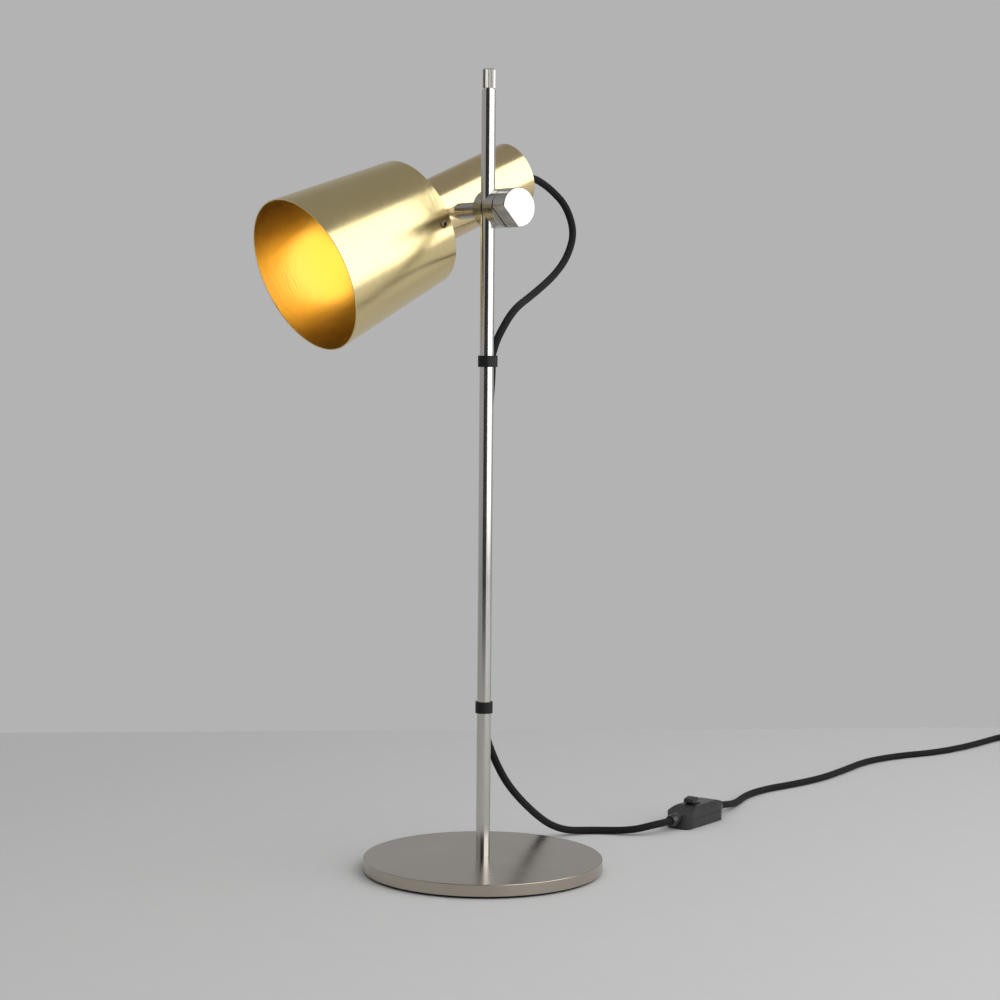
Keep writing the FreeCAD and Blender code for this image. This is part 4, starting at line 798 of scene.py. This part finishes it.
class LAMP_OT_pole(bpy.types.Operator):
    """Finish the pole and its fluted cap and clips"""

    bl_idname = "desk_lamp.pole"
    bl_label = "Pole"

    def execute(self, context):
        sizes = context.scene.lamp_sizes
        colours = context.scene.lamp_colours
        steel = brushed_metal("satin_pole_steel", tuple(colours.pole_steel), 0.17,
                              (1100.0, 1100.0, 14.0), contrast=0.05, strength=0.03)
        kept(steel, "pole_steel", "pole")
        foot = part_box("pole")[1].z
        top, radius, collar, chamfer = foot + 17.4 * MM, 5.3 * MM, 4.85 * MM, 0.8 * MM
        tree = fluted_tree(bpy.data.node_groups.get("turned_form") or turned_tree())
        cap = outline("fluted_cap", [
            (0.0, foot - 0.02 * MM), (collar, foot), (collar, foot + 1.4 * MM),
            (radius, foot + 1.5 * MM), (radius, top - chamfer), (radius - chamfer, top),
            (0.0, top)], False)
        apply_tree(cap, tree, {"Flutes": sizes.cap_flutes, "Flute Depth": 0.00055,
                               "Flute Foot": foot + 1.42 * MM, "Edge Radius": 0.0002,
                               "Material": steel})
        dressed(crisp(settled(cap)), "stand", "pole_steel", "pole_cap")
        plastic = moulded_plastic("clip_plastic", tuple(colours.plastic), 0.55)
        kept(plastic, "clip_black", "upper_cord_clip", "lower_cord_clip")
        return {"FINISHED"}


class LAMP_OT_clamp(bpy.types.Operator):
    """Finish the clamp's jaws, its knob and the pivot pin"""

    bl_idname = "desk_lamp.clamp"
    bl_label = "Clamp"

    def execute(self, context):
        colours = context.scene.lamp_colours
        steel = brushed_metal("turned_clamp_steel", shaded(colours.pole_steel, 0.88), 0.20,
                              (1500.0, 60.0, 60.0), contrast=0.06, strength=0.05)
        kept(steel, "clamp_steel", "rear_jaw", "front_jaw", "clamp_knob", "pivot_pin")
        return {"FINISHED"}


class LAMP_OT_neck(bpy.types.Operator):
    """Turn the neck tube and finish its end cap and strain relief"""

    bl_idname = "desk_lamp.neck"
    bl_label = "Neck"

    def execute(self, context):
        sizes = context.scene.lamp_sizes
        colours = context.scene.lamp_colours
        brass = brushed_metal("satin_neck_brass", tuple(colours.warm_brass), 0.20, HEAD_GRAIN,
                              turn=HEAD_TURN, contrast=0.05, strength=0.05)
        bore = sizes.neck_radius - sizes.neck_wall
        barrel = turned_piece("neck_barrel", [
            (sizes.neck_radius, NECK_FRONT), (sizes.neck_radius, NECK_REAR), (bore, NECK_REAR),
            (bore, NECK_FRONT)], brass, edge=0.35 * MM, placement=HEAD_FRAME)
        dressed(barrel, "head", "neck_brass", "neck_tube")
        kept(brass, "neck_brass", "neck_end_cap")
        kept(moulded_plastic("gland_rubber", tuple(colours.plastic), 0.66, 1100.0),
             "gland_rubber", "cord_gland")
        return {"FINISHED"}


class LAMP_OT_shade(bpy.types.Operator):
    """Turn the tapered shade and set its screws"""

    bl_idname = "desk_lamp.shade"
    bl_label = "Shade"

    def execute(self, context):
        sizes = context.scene.lamp_sizes
        colours = context.scene.lamp_colours
        brass = brushed_metal("satin_shade_brass", tuple(colours.brass), 0.22, HEAD_GRAIN,
                              turn=HEAD_TURN, contrast=0.05, strength=0.5, depth=0.2 * MM)
        rear, front = sizes.shade_rear_radius, sizes.shade_front_radius
        wall, floor = sizes.shade_wall, SHADE_REAR + sizes.shade_wall
        slope = (front - rear) / (SHADE_FRONT - SHADE_REAR)
        thick = wall * math.hypot(1.0, slope)
        shell = turned_piece("shade_shell", [
            (SHADE_LIP_RADIUS, SHADE_REAR), (rear, SHADE_REAR), (front, SHADE_FRONT),
            (front - thick, SHADE_FRONT), (rear + slope * wall - thick, floor),
            (SHADE_LIP_RADIUS, floor)], brass, edge=0.45 * MM, placement=HEAD_FRAME, steps=4)
        dressed(shell, "head", "shade_brass", "shade")
        dark = brushed_metal("dark_screw_brass", SCREW_BRASS, 0.30, (1200.0, 1200.0, 1200.0))
        tree = screw_ring_tree(bpy.data.node_groups["turned_form"])
        head, shank, shank_end = 3.25 * MM, 1.5 * MM, -3.6 * MM
        crown, height = head * 0.55, 1.9 * MM
        screws = outline("shade_screw_heads", [
            (0.0, shank_end), (shank, shank_end), (shank, 0.0), (head, 0.0), (head, 0.55 * MM),
            (crown * 1.6, 1.45 * MM), (crown, height), (0.0, height)], False)
        apply_tree(screws, tree, {
            "Screws": sizes.shade_screws, "Station": SHADE_SCREW_STATION,
            "Lean": math.atan(slope),
            "Circle Radius": rear + slope * (SHADE_SCREW_STATION - SHADE_REAR),
            "Socket Across Flats": 2.0 * MM, "Socket Floor": 0.6 * MM, "Material": dark})
        dressed(crisp(settled(screws, HEAD_FRAME)), "head", "screw_brass", "shade_screws")
        mount = brushed_metal("plated_mount_steel", MOUNT_STEEL, 0.30, FITTING_GRAIN)
        kept(mount, "mount_steel", "shade_mount")
        return {"FINISHED"}


class LAMP_OT_bulb(bpy.types.Operator):
    """Finish the lampholder and the lit bulb"""

    bl_idname = "desk_lamp.bulb"
    bl_label = "Lampholder and Bulb"

    def execute(self, context):
        colours = context.scene.lamp_colours
        studio = context.scene.lamp_studio
        kept(moulded_plastic("holder_plastic", tuple(colours.plastic), 0.40), "holder_black",
             "lampholder_body", "lampholder_ring")
        kept(brushed_metal("contact_brass", CONTACT_BRASS, 0.30, FITTING_GRAIN),
             "contact_brass", "lampholder_insert", "lampholder_contact")
        kept(brushed_metal("bulb_cap_metal", BULB_CAP_METAL, 0.25, FITTING_GRAIN),
             "bulb_metal", "bulb_cap")
        kept(lit_glass("lit_opal_glass", tuple(colours.bulb_light), studio.bulb_strength),
             "bulb_glass", "bulb_glass")
        kept(lit_glass("glowing_filament", tuple(colours.bulb_light), FILAMENT_STRENGTH),
             "bulb_filament", "bulb_filament")
        return {"FINISHED"}


class LAMP_OT_switch(bpy.types.Operator):
    """Finish the inline switch and its rocker"""

    bl_idname = "desk_lamp.switch"
    bl_label = "Switch"

    def execute(self, context):
        colours = context.scene.lamp_colours
        case = moulded_plastic("switch_plastic", shaded(colours.plastic, 2.2), 0.30,
                               texture=1800.0, strength=0.15, gloss=0.6)
        kept(case, "switch_black", "switch_lower_case", "switch_upper_case", "switch_rocker",
             "switch_terminal_block")
        return {"FINISHED"}


class LAMP_OT_plug(bpy.types.Operator):
    """Finish the plug and its pins"""

    bl_idname = "desk_lamp.plug"
    bl_label = "Plug"

    def execute(self, context):
        colours = context.scene.lamp_colours
        body = moulded_plastic("plug_rubber", tuple(colours.plastic), 0.50, 1300.0, 0.3)
        kept(body, "switch_black", "plug_body")
        kept(body, "gland_rubber", "plug_relief")
        kept(brushed_metal("plug_pin_metal", PLUG_PIN_METAL, 0.22, FITTING_GRAIN),
             "plug_metal", "plug_pins")
        return {"FINISHED"}


class LAMP_OT_stage(bpy.types.Operator):
    """Set the floor, the backdrop and the soft lamps"""

    bl_idname = "desk_lamp.stage"
    bl_label = "Studio"

    def execute(self, context):
        studio = context.scene.lamp_studio
        material, tree, shader = finish("studio_floor")
        speckle = grain(tree, (40.0, 40.0, 40.0), 3.0)
        tree.links.new(tinted(tree, speckle, shaded(tuple(studio.floor), 0.98),
                              shaded(tuple(studio.floor), 1.02)), shader.inputs["Base Color"])
        shader.inputs["Roughness"].default_value = 0.9
        shader.inputs["Specular IOR Level"].default_value = 0.1
        mesh = bpy.data.meshes.new("studio_floor")
        mesh.from_pydata(FLOOR_CORNERS, [], [(0, 1, 2, 3)])
        floor = link("studio_floor", mesh)
        floor.data.materials.append(material)

        world = context.scene.world or bpy.data.worlds.new("studio")
        context.scene.world = world
        world.use_nodes = True
        links = world.node_tree
        links.nodes.clear()
        paths = node(links, "ShaderNodeLightPath")
        shown = calc(links, "MAXIMUM", paths.outputs["Is Camera Ray"],
                     paths.outputs["Is Transmission Ray"])
        direction = node(links, "ShaderNodeTexCoord").outputs["Generated"]
        rise = node(links, "ShaderNodeSeparateXYZ", {0: direction}).outputs["Z"]
        dome = tinted(links, spread(links, rise, 0.0, 1.0, (0.15, 0.75)), tuple(studio.backdrop),
                      ZENITH)
        ambient = node(links, "ShaderNodeBackground", {"Strength": 1.0})
        links.links.new(dome, ambient.inputs[0])
        plain = node(links, "ShaderNodeBackground", {"Color": tuple(studio.backdrop),
                                                     "Strength": 1.0})
        mix = node(links, "ShaderNodeMixShader", {0: shown, 1: ambient.outputs[0],
                                                  2: plain.outputs[0]})
        output = node(links, "ShaderNodeOutputWorld")
        links.links.new(mix.outputs[0], output.inputs[0])

        self.softbox("key_softbox", (1.39, 0.58, 1.15), (0.0, 0.0, 0.50), width=3.0, height=2.3,
                     power=studio.key_power)
        fill = self.softbox("top_fill", (0.2, 0.3, 3.4), (0.2, 0.3, 0.0), width=7.0, height=7.0,
                            power=studio.fill_power)
        fill.visible_glossy = False
        # A painted reflection: a dark sheet that only the metals' reflections see.
        self.dark_card()
        context.scene.view_settings.view_transform = "Standard"
        return {"FINISHED"}

    def softbox(self, name, place, target, width, height, power):
        """A soft area lamp that isn't seen itself."""
        data = bpy.data.lights.new(name, "AREA")
        data.shape = "RECTANGLE"
        data.size = width
        data.size_y = height
        data.energy = power
        lamp = link(name, data)
        lamp.location = place
        aim = Vector(target) - Vector(place)
        lamp.rotation_euler = aim.to_track_quat("-Z", "Y").to_euler()
        lamp.visible_camera = False
        return lamp

    def dark_card(self):
        """A dark sheet seen only in reflections: a painted reflection of the unlit side of the
        studio.
        """
        material, tree, shader = finish("studio_dark_reflection_card")
        weave = grain(tree, (20.0, 20.0, 20.0), 2.0)
        tree.links.new(tinted(tree, weave, *DARK_REFLECTION_SHADES), shader.inputs["Base Color"])
        mesh = bpy.data.meshes.new("studio_dark_reflection_card")
        towards_camera = Vector((0.798, -0.603, 0.0))
        sideways = Vector((0.603, 0.798, 0.0))
        distance, shift, half, height = 1.3, 0.41, 0.81, 1.4
        centre = towards_camera * distance - sideways * shift
        corners = [centre + sideways * across + Vector((0, 0, up))
                   for across, up in ((-half, 0.0), (half, 0.0), (half, height), (-half, height))]
        mesh.from_pydata(corners, [], [(0, 1, 2, 3)])
        card = link("studio_dark_reflection_card", mesh)
        card.data.materials.append(material)
        card.visible_camera = False
        card.visible_diffuse = False
        card.visible_shadow = False


class VIEW3D_PT_desk_lamp(bpy.types.Panel):
    """The lamp's settings and the steps that build it"""

    bl_label = "Desk Lamp"
    bl_idname = "VIEW3D_PT_desk_lamp"
    bl_space_type = "VIEW_3D"
    bl_region_type = "UI"
    bl_category = "Desk Lamp"

    def draw(self, context):
        layout = self.layout
        for group in (context.scene.lamp_sizes, context.scene.lamp_colours,
                      context.scene.lamp_studio):
            box = layout.box()
            for label in group.bl_rna.properties.keys():
                if label not in ("rna_type", "name"):
                    box.prop(group, label)
        for step in STEPS:
            layout.operator(step.bl_idname)


STEPS = (LAMP_OT_camera, LAMP_OT_cords, LAMP_OT_base, LAMP_OT_pole, LAMP_OT_clamp, LAMP_OT_neck,
         LAMP_OT_shade, LAMP_OT_bulb, LAMP_OT_switch, LAMP_OT_plug, LAMP_OT_stage)
CLASSES = (LampSizes, LampColours, LampStudio, *STEPS, VIEW3D_PT_desk_lamp)


def register():
    for kind in CLASSES:
        bpy.utils.register_class(kind)
    bpy.types.Scene.lamp_sizes = PointerProperty(type=LampSizes)
    bpy.types.Scene.lamp_colours = PointerProperty(type=LampColours)
    bpy.types.Scene.lamp_studio = PointerProperty(type=LampStudio)


def unregister():
    del bpy.types.Scene.lamp_studio
    del bpy.types.Scene.lamp_colours
    del bpy.types.Scene.lamp_sizes
    for kind in reversed(CLASSES):
        bpy.utils.unregister_class(kind)


def main():
    """Builds the lamp step by step."""
    register()
    for step in STEPS:
        group, name = step.bl_idname.split(".")
        getattr(getattr(bpy.ops, group), name)()


if __name__ == "__main__":
    main()
